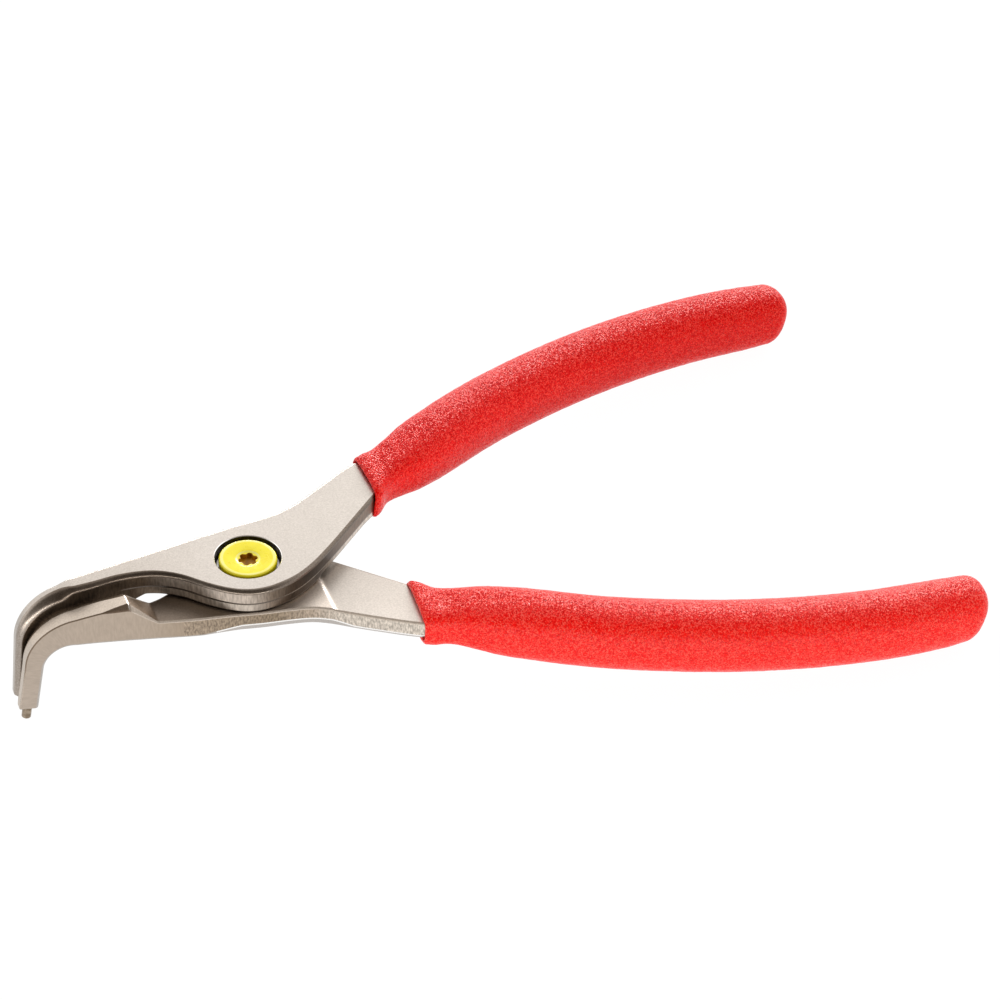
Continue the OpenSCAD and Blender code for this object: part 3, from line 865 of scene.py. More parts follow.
@dataclass
class Lever:
    """Forged lever, drawn on the far side of the tool's middle plane, in millimetres.

    Its sections stand square to a middle line that runs down the tip, round the bend and along the handle.
    """

    line: HandleLine
    bend_r: float
    tip_lean: float
    path_z: float
    far_top: float = 5.4
    near_low: float = -4.4
    lap_half: float = 0.05
    eye_r: float = 10.2
    tip_reach: float = 43.6
    tip_drop: float = 18.0
    tip_depth: float = 3.7
    tip_width: float = 2.6
    tip_gap: float = 0.6
    jaw_close: float = 0.0
    jaw_depth: float = 5.0
    hump_x: float = -24.6
    hump_height: float = 7.9
    foot_x: float = -19.5
    plateau_x: float = 12.6
    plateau_step: float = 0.6
    neck_length: float = 12.0
    far_relief: float = 0.6
    near_relief: float = 0.3
    face_fall: float = 0.1
    near_jaw_low: float = -4.25
    near_jaw_base: float = -3.7
    far_bend_drop: float = 0.65
    slim: float = 0.0
    handle_width: float = 9.6
    mouth_slant: float = 1.29
    tang_thick: float = 4.0
    tang_width: float = 7.0
    tang_short: float = 14.0
    tang_neck: float = 4.5
    step_level: float = -0.7
    step_drop: float = 0.25
    shoulder_r: float = 3.0
    run_clear: float = 0.05
    seat_clear: float = 0.05
    shank_r: float = 0.65
    shank_depth: float = 6.0
    coil_r: float = 5.85
    pocket_in: float = 4.25
    pocket_out: float = 7.3
    pocket_half: float = 1.4
    leg_hole_r: float = 0.65
    leg_depth: float = 2.2
    bevel_steep: ClassVar[float] = 1.0
    plain_side: ClassVar[range] = range(1, 4)
    least_step: ClassVar[float] = 0.02
    # half width of the painted highlight on each ridge
    ridge_half: ClassVar[float] = 0.1
    corner_steps: ClassVar[int] = 3
    step_corners: ClassVar[tuple[int, ...]] = (2, 3, 8, 9)
    step_spans: ClassVar[tuple[int, ...]] = (2, 3, 7, 8)
    ridge_corners: ClassVar[tuple[int, ...]] = (0, 10, 11)
    rim_corner: ClassVar[int] = 4
    corner_surfaces: ClassVar[list[Surface]] = [
        Surface.EDGE, Surface.EDGE, Surface.EDGE, Surface.LOWER, Surface.RIM, Surface.RIM,
        Surface.RIM, Surface.RIM, Surface.EDGE, Surface.EDGE, Surface.EDGE, Surface.EDGE]
    span_surfaces: ClassVar[list[Surface]] = [
        Surface.EDGE, Surface.WALL, Surface.EDGE, Surface.LOWER, Surface.RIM, Surface.FACE,
        Surface.RIM, Surface.LOWER, Surface.EDGE, Surface.WALL, Surface.EDGE, Surface.FACE]

    def __post_init__(self) -> None:
        """Works out the stations of the bend, the jaw and the tang."""
        self.turn = math.radians(90 - self.tip_lean)
        fall = self.bend_r * (1 - math.cos(self.turn))
        self.leg = (self.path_z - fall + self.tip_drop) / math.sin(self.turn)
        self.bend_x = self.bend_r * math.sin(self.turn) + self.leg * math.cos(self.turn) - self.tip_reach
        self.arc_u = self.bend_x - self.bend_r * self.turn
        self.tip_u = self.arc_u - self.leg
        self.jaw_mid = (self.bend_x + self.hump_x) / 2
        self.neck_end = self.line.mouth_x + self.neck_length
        self.tang_neck_x = self.line.mouth_x + self.tang_neck
        self.tang_end = self.line.reach - self.tang_short
        self.tip_in = self.tip_gap / 2
        self.tip_out = self.tip_in + self.tip_width
        self.outer = self.outer_wall()
        self.inner = self.inner_wall()
        self.top = self.top_face()
        self.low = self.bottom_face()

    def tang_half(self, x: float) -> float:
        """Half width of the handle and tang, square to the handle."""
        return straight(x, [(self.line.mouth_x, self.handle_width / 2 + 0.2),
                            (self.tang_neck_x, self.handle_width / 2 - 0.9),
                            (self.tang_end, self.tang_width / 2)])

    def tang_wall(self, side: int) -> list[Pair]:
        """One wall of the tang in plan.

        Args:
            side: 1 for the outer wall, -1 for the inner one.

        Returns:
            Stations with the wall's distance from the middle plane.
        """
        back = spread(self.neck_end, self.tang_end, (self.tang_end - self.neck_end) / 5)
        stations = [self.tang_neck_x, *back, self.tang_end]
        return [(x, self.line.y(x) + side * self.tang_half(x) * self.line.across(x)) for x in stations]

    def outer_wall(self) -> list[Pair]:
        """Outer wall in plan, against distance along the middle line."""
        mouth = self.line.mouth_y
        return [
            (self.tip_u, self.tip_out), (self.arc_u, self.tip_out + 0.4), (self.bend_x, self.tip_out + 1.4),
            (self.hump_x - 2.4, 5.5), (-20, 6.9 - self.slim / 2), (-13, 8.3 - self.slim),
            (-6.5, self.eye_r - 1), (0, self.eye_r + 0.1), (5, self.eye_r + 0.7), (9.5, self.eye_r + 1.6),
            (13.5, mouth - 2.2 - self.slim), (19.2, mouth + 1.3 - self.slim),
            (self.line.mouth_x, mouth + self.handle_width / 2 * self.mouth_slant), *self.tang_wall(1)]

    def inner_wall(self) -> list[Pair]:
        """Inner wall in plan, round the eye, against distance along the middle line."""
        r = self.eye_r
        return [
            (self.tip_u, self.tip_in), (self.arc_u, self.tip_in),
            (self.bend_x, self.tip_in + 0.1 - self.jaw_close),
            (self.jaw_mid, self.tip_in + 0.45 - self.jaw_close), (self.hump_x, 1.35),
            (-20, 1.05), (-16.5, 0), (-13, -2.2), (-9.5, -5.6),
            (-0.6 * r, -0.81 * r), (-0.3 * r, -0.955 * r), (0, -r), (0.3 * r, -0.96 * r),
            (0.68 * r, -0.83 * r), (11, -5.9), (16, -1.6), (22, 4.1),
            (self.line.mouth_x, self.line.mouth_y - self.handle_width / 2 * self.mouth_slant),
            *self.tang_wall(-1)]

    def top_face(self) -> list[Pair]:
        """Height of the top face above the middle line."""
        raise NotImplementedError

    def bottom_face(self) -> list[Pair]:
        """Height of the underside above the middle line."""
        raise NotImplementedError

    def bevels(self, u: float) -> tuple[float, float, Pair, float]:
        """Edge shapes at one station.

        Args:
            u: Distance along the middle line.

        Returns:
            The outer and inner top bevels, the lower bevel's inset and drop, and the lower band's inset.
        """
        raise NotImplementedError

    def corner_radii(self, out: float, inner: float) -> list[float]:
        """Rounding of the twelve corners of a section, from its top bevels."""
        raise NotImplementedError

    def corners(self, u: float, grow: float = 0) -> list[Pair]:
        """Corners of the section at one station.

        Args:
            u: Distance along the middle line.
            grow: How far every side is moved outward.

        Returns:
            Twelve [sideways, upward] corners, down the outer wall and up the inner one.
        """
        out = curve(u, self.outer) + grow
        inn = curve(u, self.inner) - grow
        top = softened(u, self.top) + grow
        low = softened(u, self.low) - grow
        a, b, c, s = self.bevels(u)
        ledge = self.step_level
        under = ledge - self.step_drop
        return [(out - a, top), (out, top - a), (out, ledge), (out - s, under), (out - s, low + c[1]),
                (out - s - c[0], low), (inn + s + c[0], low), (inn + s, low + c[1]), (inn + s, under),
                (inn, ledge), (inn, top - b * self.bevel_steep), (inn + b, top)]

    def on_path(self, u: float, point: Pair) -> Point:
        """Place of a section's point on the bent middle line.

        Args:
            u: Distance along the middle line.
            point: [sideways, upward] point of the section.

        Returns:
            The point in the tool's millimetres.
        """
        turned_by = min(max(self.bend_x - u, 0) / self.bend_r, self.turn)
        extra = max(self.arc_u - u, 0)
        x = max(u, self.bend_x) - self.bend_r * math.sin(turned_by) - extra * math.cos(turned_by)
        z = self.path_z - self.bend_r * (1 - math.cos(turned_by)) - extra * math.sin(turned_by)
        return (x - point[1] * math.sin(turned_by), point[0], z + point[1] * math.cos(turned_by))

    def stations(self) -> list[float]:
        """Stations of the sections, close together where the lever shows.

        Returns:
            Distances along the middle line, in rising order.
        """
        fine = 0.55
        crease = 0.12
        rows = spread(self.tip_u, self.line.mouth_x, fine)
        rows += [*spread(self.line.mouth_x, self.tang_end, 3), self.tang_end]
        for spot in (self.hump_x, self.foot_x, self.plateau_x, self.plateau_x + self.plateau_step):
            rows = [u for u in rows if abs(u - spot) > 3.5 * crease]
            rows += [spot + crease * k for k in range(-3, 4)]
        return sorted(rows)

    def ring(self, u: float) -> list[Point]:
        """One rounded section, placed on the middle line."""
        outline = filleted(self.corners(u), self.corner_radii(*self.bevels(u)[:2]), self.corner_steps)
        return [self.on_path(u, p) for p in outline]

    def blank(self, name: str) -> bpy.types.Mesh:
        """The forged blank before drilling.

        Args:
            name: The mesh's name.

        Returns:
            The mesh, in millimetres.
        """
        tip_round = 0.35
        kept = [u for u in self.stations() if u >= self.tip_u + tip_round]
        rings = [self.ring(u) for u in kept]
        for angle in (25, 50, 70, 90):
            swing = math.radians(angle)
            u = self.tip_u + tip_round * (1 - math.sin(swing))
            shrink = tip_round * (1 - math.cos(swing))
            rings.insert(0, [self.on_path(u, p) for p in filleted(
                self.corners(self.tip_u + tip_round, -shrink), self.corner_radii(*self.bevels(u)[:2]),
                self.corner_steps)])
            kept.insert(0, u)
        draft = Draft()
        draft.loft(rings, [self.surfaces(u) for u in kept], kept)
        return draft.mesh(name)

    def surfaces(self, u: float) -> list[Surface]:
        """Finish of each quad round the band that starts at one station.

        Args:
            u: Distance along the middle line.

        Returns:
            The finishes, in the order of the section's points; plain wall where there is no step in it,
            and worn bright steel on a ridge.
        """
        plain = self.bevels(u)[3] < self.least_step
        # painted highlight on the ridges
        highlit = any(abs(u - ridge) < self.ridge_half for ridge in self.ridges())
        row: list[Surface] = []
        for i, (corner, span) in enumerate(zip(self.corner_surfaces, self.span_surfaces)):
            if plain and i in self.step_corners:
                corner = Surface.WALL
            if plain and i in self.step_spans:
                span = Surface.WALL
            if highlit and i in self.ridge_corners:
                corner = span = Surface.HIGHLIT
            if i in self.plain_side:
                span = Surface.SIDE
            # painted highlight on the edge over the outer lower bevel
            if i == self.rim_corner and self.bright_rim(u):
                corner = Surface.HIGHLIT
            row += [corner] * self.corner_steps + [span]
        return row

    def bright_rim(self, u: float) -> bool:
        """Whether the edge over the outer lower bevel gets a painted highlight at one station."""
        return False

    def ridges(self) -> list[float]:
        """Stations of the sharp ridges across the top face."""
        return []

    def pocket(self, up: int) -> list[bpy.types.Mesh]:
        """Cutters for the half of the spring's room that this lever holds.

        Args:
            up: 1 where the room opens downward, -1 where it opens upward.

        Returns:
            The ring-shaped room and the seat of the spring's leg.
        """
        over = 1.0
        room = turned([(self.pocket_in, -over), (self.pocket_out, -over),
                       (self.pocket_out, self.pocket_half), (self.pocket_in, self.pocket_half)],
                      "spring_room", Surface.TURNED)
        seat = turned([(0, 0), (self.leg_hole_r, 0), (self.leg_hole_r, self.leg_depth), (0, self.leg_depth)],
                      "leg_seat", Surface.TURNED, 32)
        spot = (0, self.coil_r, 0) if up > 0 else (self.coil_r, 0, 0)
        seat.transform(Matrix.Translation(spot))
        if up < 0:
            for mesh in (room, seat):
                mesh.transform(Matrix.Scale(-1, 4, Vector((0, 0, 1))))
                mesh.flip_normals()
        return [room, seat]

    def tip_matrix(self) -> Matrix:
        """Place of the tip's end, with Z running back up the tip."""
        spot = (-self.tip_reach, self.tip_in + self.tip_width / 2, -self.tip_drop)
        return Matrix.Translation(spot) @ Matrix.Rotation(math.radians(self.tip_lean), 4, "Y")

    def shank_hole(self) -> bpy.types.Mesh:
        """Cutter for the pin's shank in the tip.

        Returns:
            The cutter, in the lever's millimetres.
        """
        r = self.shank_r + self.seat_clear
        hole = turned([(0, -1), (r, -1), (r, self.shank_depth), (0, self.shank_depth)],
                      "shank_hole", Surface.TURNED, 32)
        hole.transform(self.tip_matrix())
        return hole


@dataclass
class FarLever(Lever):
    """Lever over the joint, with the recess for the screw's head."""

    recess_r: float = 6.3
    recess_floor: float = 2.8
    rim_ease: float = 0.18
    step_inset: float = 0.3
    grip_z: float = 2.83
    slim: float = 0.35
    jaw_sag: float = 0.2

    def top_face(self) -> list[Pair]:
        """Height of the top face above the middle line."""
        face = self.far_top - self.path_z
        return [(self.arc_u, self.tip_depth / 2), (self.bend_x - 1.2, face - self.far_bend_drop),
                (self.bend_x + 0.6, face), (self.line.mouth_x, face - self.face_fall),
                (self.neck_end, self.grip_z + self.tang_thick / 2 - self.path_z)]

    def bottom_face(self) -> list[Pair]:
        """Height of the underside above the middle line."""
        return [(self.arc_u, -self.tip_depth / 2),
                (self.bend_x, self.far_top - self.jaw_depth - self.jaw_sag - self.path_z),
                (self.hump_x, self.far_top - self.hump_height - self.path_z),
                (self.foot_x, self.lap_half - self.path_z), (self.plateau_x, self.lap_half - self.path_z),
                (self.plateau_x + self.plateau_step, self.far_relief - self.path_z),
                (self.line.mouth_x, self.far_relief - self.path_z),
                (self.neck_end, self.grip_z - self.tang_thick / 2 - self.path_z)]

    def bevels(self, u: float) -> tuple[float, float, Pair, float]:
        """Edge shapes at one station: soft rolls on top and a milled step half-way down.

        Args:
            u: Distance along the middle line.

        Returns:
            The outer and inner top bevels, the lower bevel's inset and drop, and the lower band's inset.
        """
        mouth = self.line.mouth_x
        outer = softened(u, [(self.arc_u, 0.4), (self.bend_x, 0.7), (mouth, 0.9)])
        inner = softened(u, [(self.arc_u, 0.7), (self.bend_x - 1, 1.3), (self.bend_x + 1, 0.7),
                             (self.hump_x, 0.6), (mouth, 0.5)])
        step = softened(u, [(self.hump_x, 0), (self.foot_x, 1), (mouth - 2, 1), (mouth, 0)])
        return outer, inner, (0.3, 0.3), self.step_inset * step

    def corner_radii(self, out: float, inner: float) -> list[float]:
        """Rounding of the twelve corners of a section, from its top bevels."""
        roll, crisp, low = 0.55, 0.2, 0.12
        return [roll * out] * 2 + [crisp] * 2 + [low] * 4 + [crisp] * 2 + [roll * inner] * 2

    def surfaces(self, u: float) -> list[Surface]:
        """Finish of each quad round a band; its inner and lower edges take the dark edge finish, which is
        painted shade.

        Args:
            u: Distance along the middle line.

        Returns:
            The finishes, in the order of the section's points.
        """
        row = [Surface.EDGE if finish == Surface.RIM else finish for finish in super().surfaces(u)]
        outer = 2 * (self.corner_steps + 1)
        return [Surface.FACE if finish == Surface.EDGE else finish for finish in row[:outer]] + row[outer:]

    def drill(self) -> list[bpy.types.Mesh]:
        """Cutters for the bore, the head's recess, the spring's room and the pin's shank.

        Returns:
            The cutters, in the lever's millimetres.
        """
        r = self.shoulder_r + self.run_clear
        top = self.far_top
        # the recess's eased rim gets a painted highlight
        bore = turned([(0, -1), (r, -1), (r, self.recess_floor), (self.recess_r, self.recess_floor),
                       (self.recess_r, top - self.rim_ease), (self.recess_r + self.rim_ease, top),
                       (self.recess_r + self.rim_ease, top + 1), (0, top + 1)], "bore", Surface.TURNED,
                      highlit_band=4)
        return [bore, *self.pocket(1), self.shank_hole()]


@dataclass
class NearLever(Lever):
    """Lever under the joint, with the nut's seat in its underside."""

    nut_r: float = 5.5
    nut_top: float = -2.45
    grip_z: float = -1.9
    tip_drop: float = 18.5
    # where the painted highlight on the outer lower edge starts
    rim_start: float = -9.0
    rough_start: float = -15.0
    jaw_close: float = 0.25
    bevel_steep: ClassVar[float] = 0.5
    plain_side: ClassVar[range] = range(7, 10)

    def top_face(self) -> list[Pair]:
        """Height of the top face above the middle line."""
        return [(self.arc_u, self.tip_depth / 2), (self.bend_x, self.jaw_depth / 2 + 0.8),
                (self.hump_x, self.near_jaw_base + self.hump_height - self.path_z),
                (self.foot_x, -self.lap_half - self.path_z), (self.plateau_x, -self.lap_half - self.path_z),
                (self.plateau_x + self.plateau_step, -self.near_relief - self.path_z),
                (self.line.mouth_x, -self.near_relief - self.path_z),
                (self.neck_end, self.grip_z + self.tang_thick / 2 - self.path_z)]

    def bottom_face(self) -> list[Pair]:
        """Height of the underside above the middle line."""
        return [(self.arc_u, -self.tip_depth / 2), (self.bend_x, self.near_jaw_low - self.path_z),
                (self.foot_x, self.near_jaw_low - self.path_z), (-8, self.near_low - self.path_z),
                (self.line.mouth_x, self.near_low + self.face_fall - self.path_z),
                (self.neck_end, self.grip_z - self.tang_thick / 2 - self.path_z)]

    def bevels(self, u: float) -> tuple[float, float, Pair, float]:
        """Edge shapes at one station: flat facets on the hump and under the eye.

        Args:
            u: Distance along the middle line.

        Returns:
            The outer and inner top bevels, the lower bevel's inset and drop, and the lower band's inset.
        """
        mouth = self.line.mouth_x
        outer = softened(u, [(self.jaw_mid, 0.15), (self.hump_x, 0.9), (self.foot_x, 0.25), (mouth, 0.3)])
        inner = softened(u, [(self.bend_x, 0.9), (self.hump_x, 1.0), (self.foot_x, 0.25), (mouth, 0.4)])
        low = (softened(u, [(-11, 0.35), (-4, 0.9), (self.plateau_x, 0.9), (16, 0.7)]),
               softened(u, [(-11, 0.35), (-4, 1.7), (self.plateau_x, 1.7), (16, 0.9)]))
        return outer, inner, low, 0.0

    def corner_radii(self, out: float, inner: float) -> list[float]:
        """Rounding of the twelve corners of a section.

        Args:
            out: Outer top bevel.
            inner: Inner top bevel.

        Returns:
            How far from each corner its rounding starts.
        """
        share, most, crisp = 0.4, 0.2, 0.12
        first, last = ([min(share * bevel, most)] * 2 for bevel in (out, inner))
        return first + [crisp] * 2 + [most] * 4 + [crisp] * 2 + last

    def ridges(self) -> list[float]:
        """Stations of the sharp ridges across the top face."""
        return [self.hump_x, self.plateau_x]

    def bright_rim(self, u: float) -> bool:
        """Whether the edge over the outer lower bevel gets a painted highlight at one station."""
        return u > self.rim_start

    def surfaces(self, u: float) -> list[Surface]:
        """Finish of each quad round a band, which is rough behind the jaw.

        Args:
            u: Distance along the middle line.

        Returns:
            The finishes, in the order of the section's points.
        """
        row = super().surfaces(u)
        if u < self.rough_start:
            return row
        return [Surface.LOWER if finish == Surface.WALL else finish for finish in row]

    def drill(self) -> list[bpy.types.Mesh]:
        """Cutters for the bore, the nut's seat, the spring's room and the pin's shank.

        Returns:
            The cutters, in the lever's millimetres.
        """
        r = self.shoulder_r + self.seat_clear
        seat = self.nut_r + self.seat_clear
        low = self.near_low - 1
        bore = turned([(0, low), (seat, low), (seat, self.nut_top), (r, self.nut_top), (r, 1), (0, 1)],
                      "bore", Surface.TURNED)
        return [bore, *self.pocket(-1), self.shank_hole()]


@dataclass
class Grip:
    """Dipped grip over a lever's tang, drawn on the far side of the middle plane, in millimetres."""

    lever: Lever
    mid_z: float
    mouth_z: float
    mouth_cut: Point
    mouth_cut_length: float = 6.0
    grip_r: float = 6.3
    mouth_half: float = 3.7
    lip_r: float = 0.75
    end_back: float = 0.95
    end_length: float = 8.0
    end_taper: float = 0.4
    end_slant: float = 0.34
    end_skew: float = -0.09
    end_power: float = 2.4
    top_round: float = 4.8
    low_round: float = 2.8
    sides: int = 144
    step: float = 0.7
    lip_length: float = 1.8
    throat_length: float = 4.2
    shoulder_length: float = 18.0
    body_length: float = 26.0
    taper_length: float = 16.0
    pebble: float = 0.9
    ripple: float = 2.1
    ripple_share: float = 0.5
    pebble_rise: float = 0.05

    def __post_init__(self) -> None:
        """Works out the stations along the grip."""
        self.line = self.lever.line
        self.lip_end = self.line.mouth_x + self.lip_length
        self.throat_x = self.line.mouth_x + self.throat_length
        self.shoulder_x = self.line.mouth_x + self.shoulder_length
        self.body_x = self.line.mouth_x + self.body_length
        self.end_x = self.line.reach - self.end_back
        self.taper_x = self.end_x - self.taper_length
        self.end_half = self.grip_r - self.end_taper

    def half(self, x: float) -> float:
        """Half width square to the handle."""
        lever_half = self.lever.handle_width / 2
        return curve(x, [(self.line.mouth_x, lever_half + 1), (self.lip_end, lever_half + 1),
                         (self.throat_x, lever_half + 0.5), (self.line.mouth_x + 8, lever_half + 0.65),
                         (self.lever.neck_end, self.grip_r - 0.2), (self.shoulder_x, self.grip_r),
                         (self.taper_x, self.grip_r), (self.end_x, self.end_half)])

    def dip(self, x: float) -> float:
        """How far the neck dips on its inner side."""
        return curve(x, [(self.line.mouth_x, 0), (self.lip_end, 0.05), (self.throat_x, 0.7),
                         (self.line.mouth_x + 9.5, 0.5), (self.shoulder_x, 0), (self.end_x, 0)])

    def rise(self, x: float) -> float:
        """Half height."""
        return curve(x, [(self.line.mouth_x, self.mouth_half + 0.1), (self.lip_end, self.mouth_half + 0.15),
                         (self.throat_x, self.mouth_half), (self.line.mouth_x + 8.5, self.mouth_half + 0.85),
                         (self.shoulder_x - 1, self.grip_r - 0.4), (self.body_x, self.grip_r),
                         (self.taper_x, self.grip_r), (self.end_x, self.end_half)])

    def circuit(self, power: float) -> list[Pair]:
        """Points round a squared-off circle of radius one.

        Args:
            power: Two for a circle, more for squarer corners.

        Returns:
            [sideways, upward] points.
        """
        points = []
        for i in range(self.sides):
            angle = 2 * math.pi * i / self.sides
            side = math.copysign(abs(math.cos(angle)) ** (2 / power), math.cos(angle))
            up = math.copysign(abs(math.sin(angle)) ** (2 / power), math.sin(angle))
            points.append((side, up))
        return points

    def outline(self, x: float) -> list[Point]:
        """Outer ring of the grip at one station.

        Args:
            x: Distance from the pivot along the tool.

        Returns:
            The ring's points, anticlockwise seen from the mouth.
        """
        powers = [(self.line.mouth_x, 4), (self.shoulder_x - 2, 2.6), (self.body_x, self.end_power)]
        power = straight(x, powers)
        mid = straight(x, [(self.line.mouth_x, self.mouth_z), (self.shoulder_x, self.mid_z)])
        across = self.line.across(x)
        outer = self.half(x) * across
        inner = outer - self.dip(x) * across
        tall = self.rise(x)
        slant = straight(x, [(self.line.mouth_x, 1), (self.line.mouth_x + self.mouth_cut_length, 0)])
        shift, outward, upward = self.mouth_cut
        return [(x + slant * (shift + outward * side + upward * up),
                 self.line.y(x) + side * (outer if side > 0 else inner), mid + tall * up)
                for side, up in self.circuit(power)]

    def end_ring(self, swing: float) -> list[Point]:
        """Ring on the rounded edge of the flat, slanted end.

        Args:
            swing: Angle in degrees, 0 where the rounding starts and 90 at the flat end.

        Returns:
            As many points as the outer ring has.
        """
        turn = math.radians(swing)
        slope = (self.line.y(self.end_x + 0.1) - self.line.y(self.end_x - 0.1)) / 0.2
        ring = []
        for side, up in self.circuit(self.end_power):
            r = (self.top_round + self.low_round) / 2 + (self.top_round - self.low_round) / 2 * up
            half = self.end_half - r * (1 - math.cos(turn))
            back = half * (self.end_slant * up + self.end_skew * side) - r * (1 - math.sin(turn))
            ring.append((self.end_x + back, self.line.y(self.end_x) + slope * back + half * side,
                         self.mid_z + half * up))
        return ring

    def end_rings(self) -> list[list[Point]]:
        """Rings from the body to the flat end, and over most of that.

        Returns:
            The rings, in order.
        """
        body = self.outline(self.end_x - self.end_length)
        edge = self.end_ring(0)
        joined = []
        for k in range(1, 7):
            joined.append([tuple(Vector(p).lerp(Vector(q), k / 7)) for p, q in zip(body, edge)])
        flat = self.end_ring(90)
        middle = sum((Vector(p) for p in flat), Vector()) / len(flat)
        inward = [[tuple(Vector(p).lerp(middle, share)) for p in flat] for share in (0.3, 0.6, 0.85)]
        return [*joined, *[self.end_ring(swing) for swing in range(0, 91, 6)], *inward]

    def room(self, x: float) -> list[Point]:
        """Ring on the tang's surface at one station, point by point under the outer ring.

        Args:
            x: Distance from the pivot along the tool.

        Returns:
            As many points as the outer ring has.
        """
        corners = self.lever.corners(min(x, self.lever.tang_end), self.lever.seat_clear)
        shape = [Vector((p[0], p[1] + self.lever.path_z)) for p in corners]
        middle = sum(shape, Vector((0, 0))) / len(shape)
        ring = []
        for outer in self.outline(min(x, self.end_x - self.end_length)):
            ray = Vector((outer[1], outer[2])) - middle
            sides = [(shape[i] - middle, shape[i - 1] - middle) for i in range(len(shape))]
            spot = middle + ray * min(self.ray_hit(ray, *side) for side in sides)
            ring.append((x, spot.x, spot.y))
        return ring

    @staticmethod
    def ray_hit(ray: Vector, a: Vector, b: Vector) -> float:
        """Where a ray from the origin crosses a stretch.

        Args:
            ray: The ray's direction and length.
            a: Start of the stretch.
            b: End of the stretch.

        Returns:
            How far along the ray, as a share of its length, or a large number where it misses.
        """
        missed = 1e9
        edge = b - a
        cross = ray.x * edge.y - ray.y * edge.x
        if abs(cross) < 1e-9:
            return missed
        along_ray = (a.x * edge.y - a.y * edge.x) / cross
        along_edge = (a.x * ray.y - a.y * ray.x) / cross
        return along_ray if along_ray > 0 and -1e-6 <= along_edge <= 1 + 1e-6 else missed

    def lip(self) -> list[list[Point]]:
        """Rings of the rounded lip, from the outer skin round to the tang.

        Returns:
            The rings, in order.
        """
        steps = 8
        base = self.line.mouth_x + self.lip_r
        outer = self.outline(base)
        inner = self.room(base)
        rings = []
        for k in range(steps + 1):
            swing = math.pi * k / steps
            share = (1 - math.cos(swing)) / 2
            back = self.lip_r * math.sin(swing)
            rings.append([(o[0] - back, o[1] + (n[1] - o[1]) * share, o[2] + (n[2] - o[2]) * share)
                          for o, n in zip(outer, inner)])
        return rings

    def mesh(self, name: str) -> bpy.types.Mesh:
        """The dipped skin with its room for the tang.

        Args:
            name: The mesh's name.

        Returns:
            The mesh, in millimetres, with a lightly uneven surface.
        """
        lip_base = self.line.mouth_x + self.lip_r
        tang_end = self.lever.tang_end
        body_end = self.end_x - self.end_length
        outside = [*spread(lip_base + self.step, body_end, self.step), body_end]
        inside = [*spread(lip_base + 1, tang_end, 4), tang_end + 0.3]
        skin = [[self.uneven(p) for p in ring] for ring in [*map(self.outline, outside), *self.end_rings()]]
        rings = [*[self.room(x) for x in reversed(inside)], *reversed(self.lip()), *skin]
        draft = Draft()
        draft.loft(rings, [[0] * self.sides] * len(rings), [ring[0][0] for ring in rings])
        return draft.mesh(name)

    def uneven(self, point: Point) -> Point:
        """Moves a point of the skin in or out a little, as a dipped skin is.

        Args:
            point: The point of the even skin.

        Returns:
            The moved point.
        """
        here = Vector(point)
        middle = Vector((here.x, self.line.y(min(here.x, self.line.reach)), self.mid_z))
        out = (here - middle).normalized()
        swell = noise.noise(here * self.pebble) + self.ripple_share * noise.noise(here * self.ripple)
        return tuple(here + out * swell * self.pebble_rise)


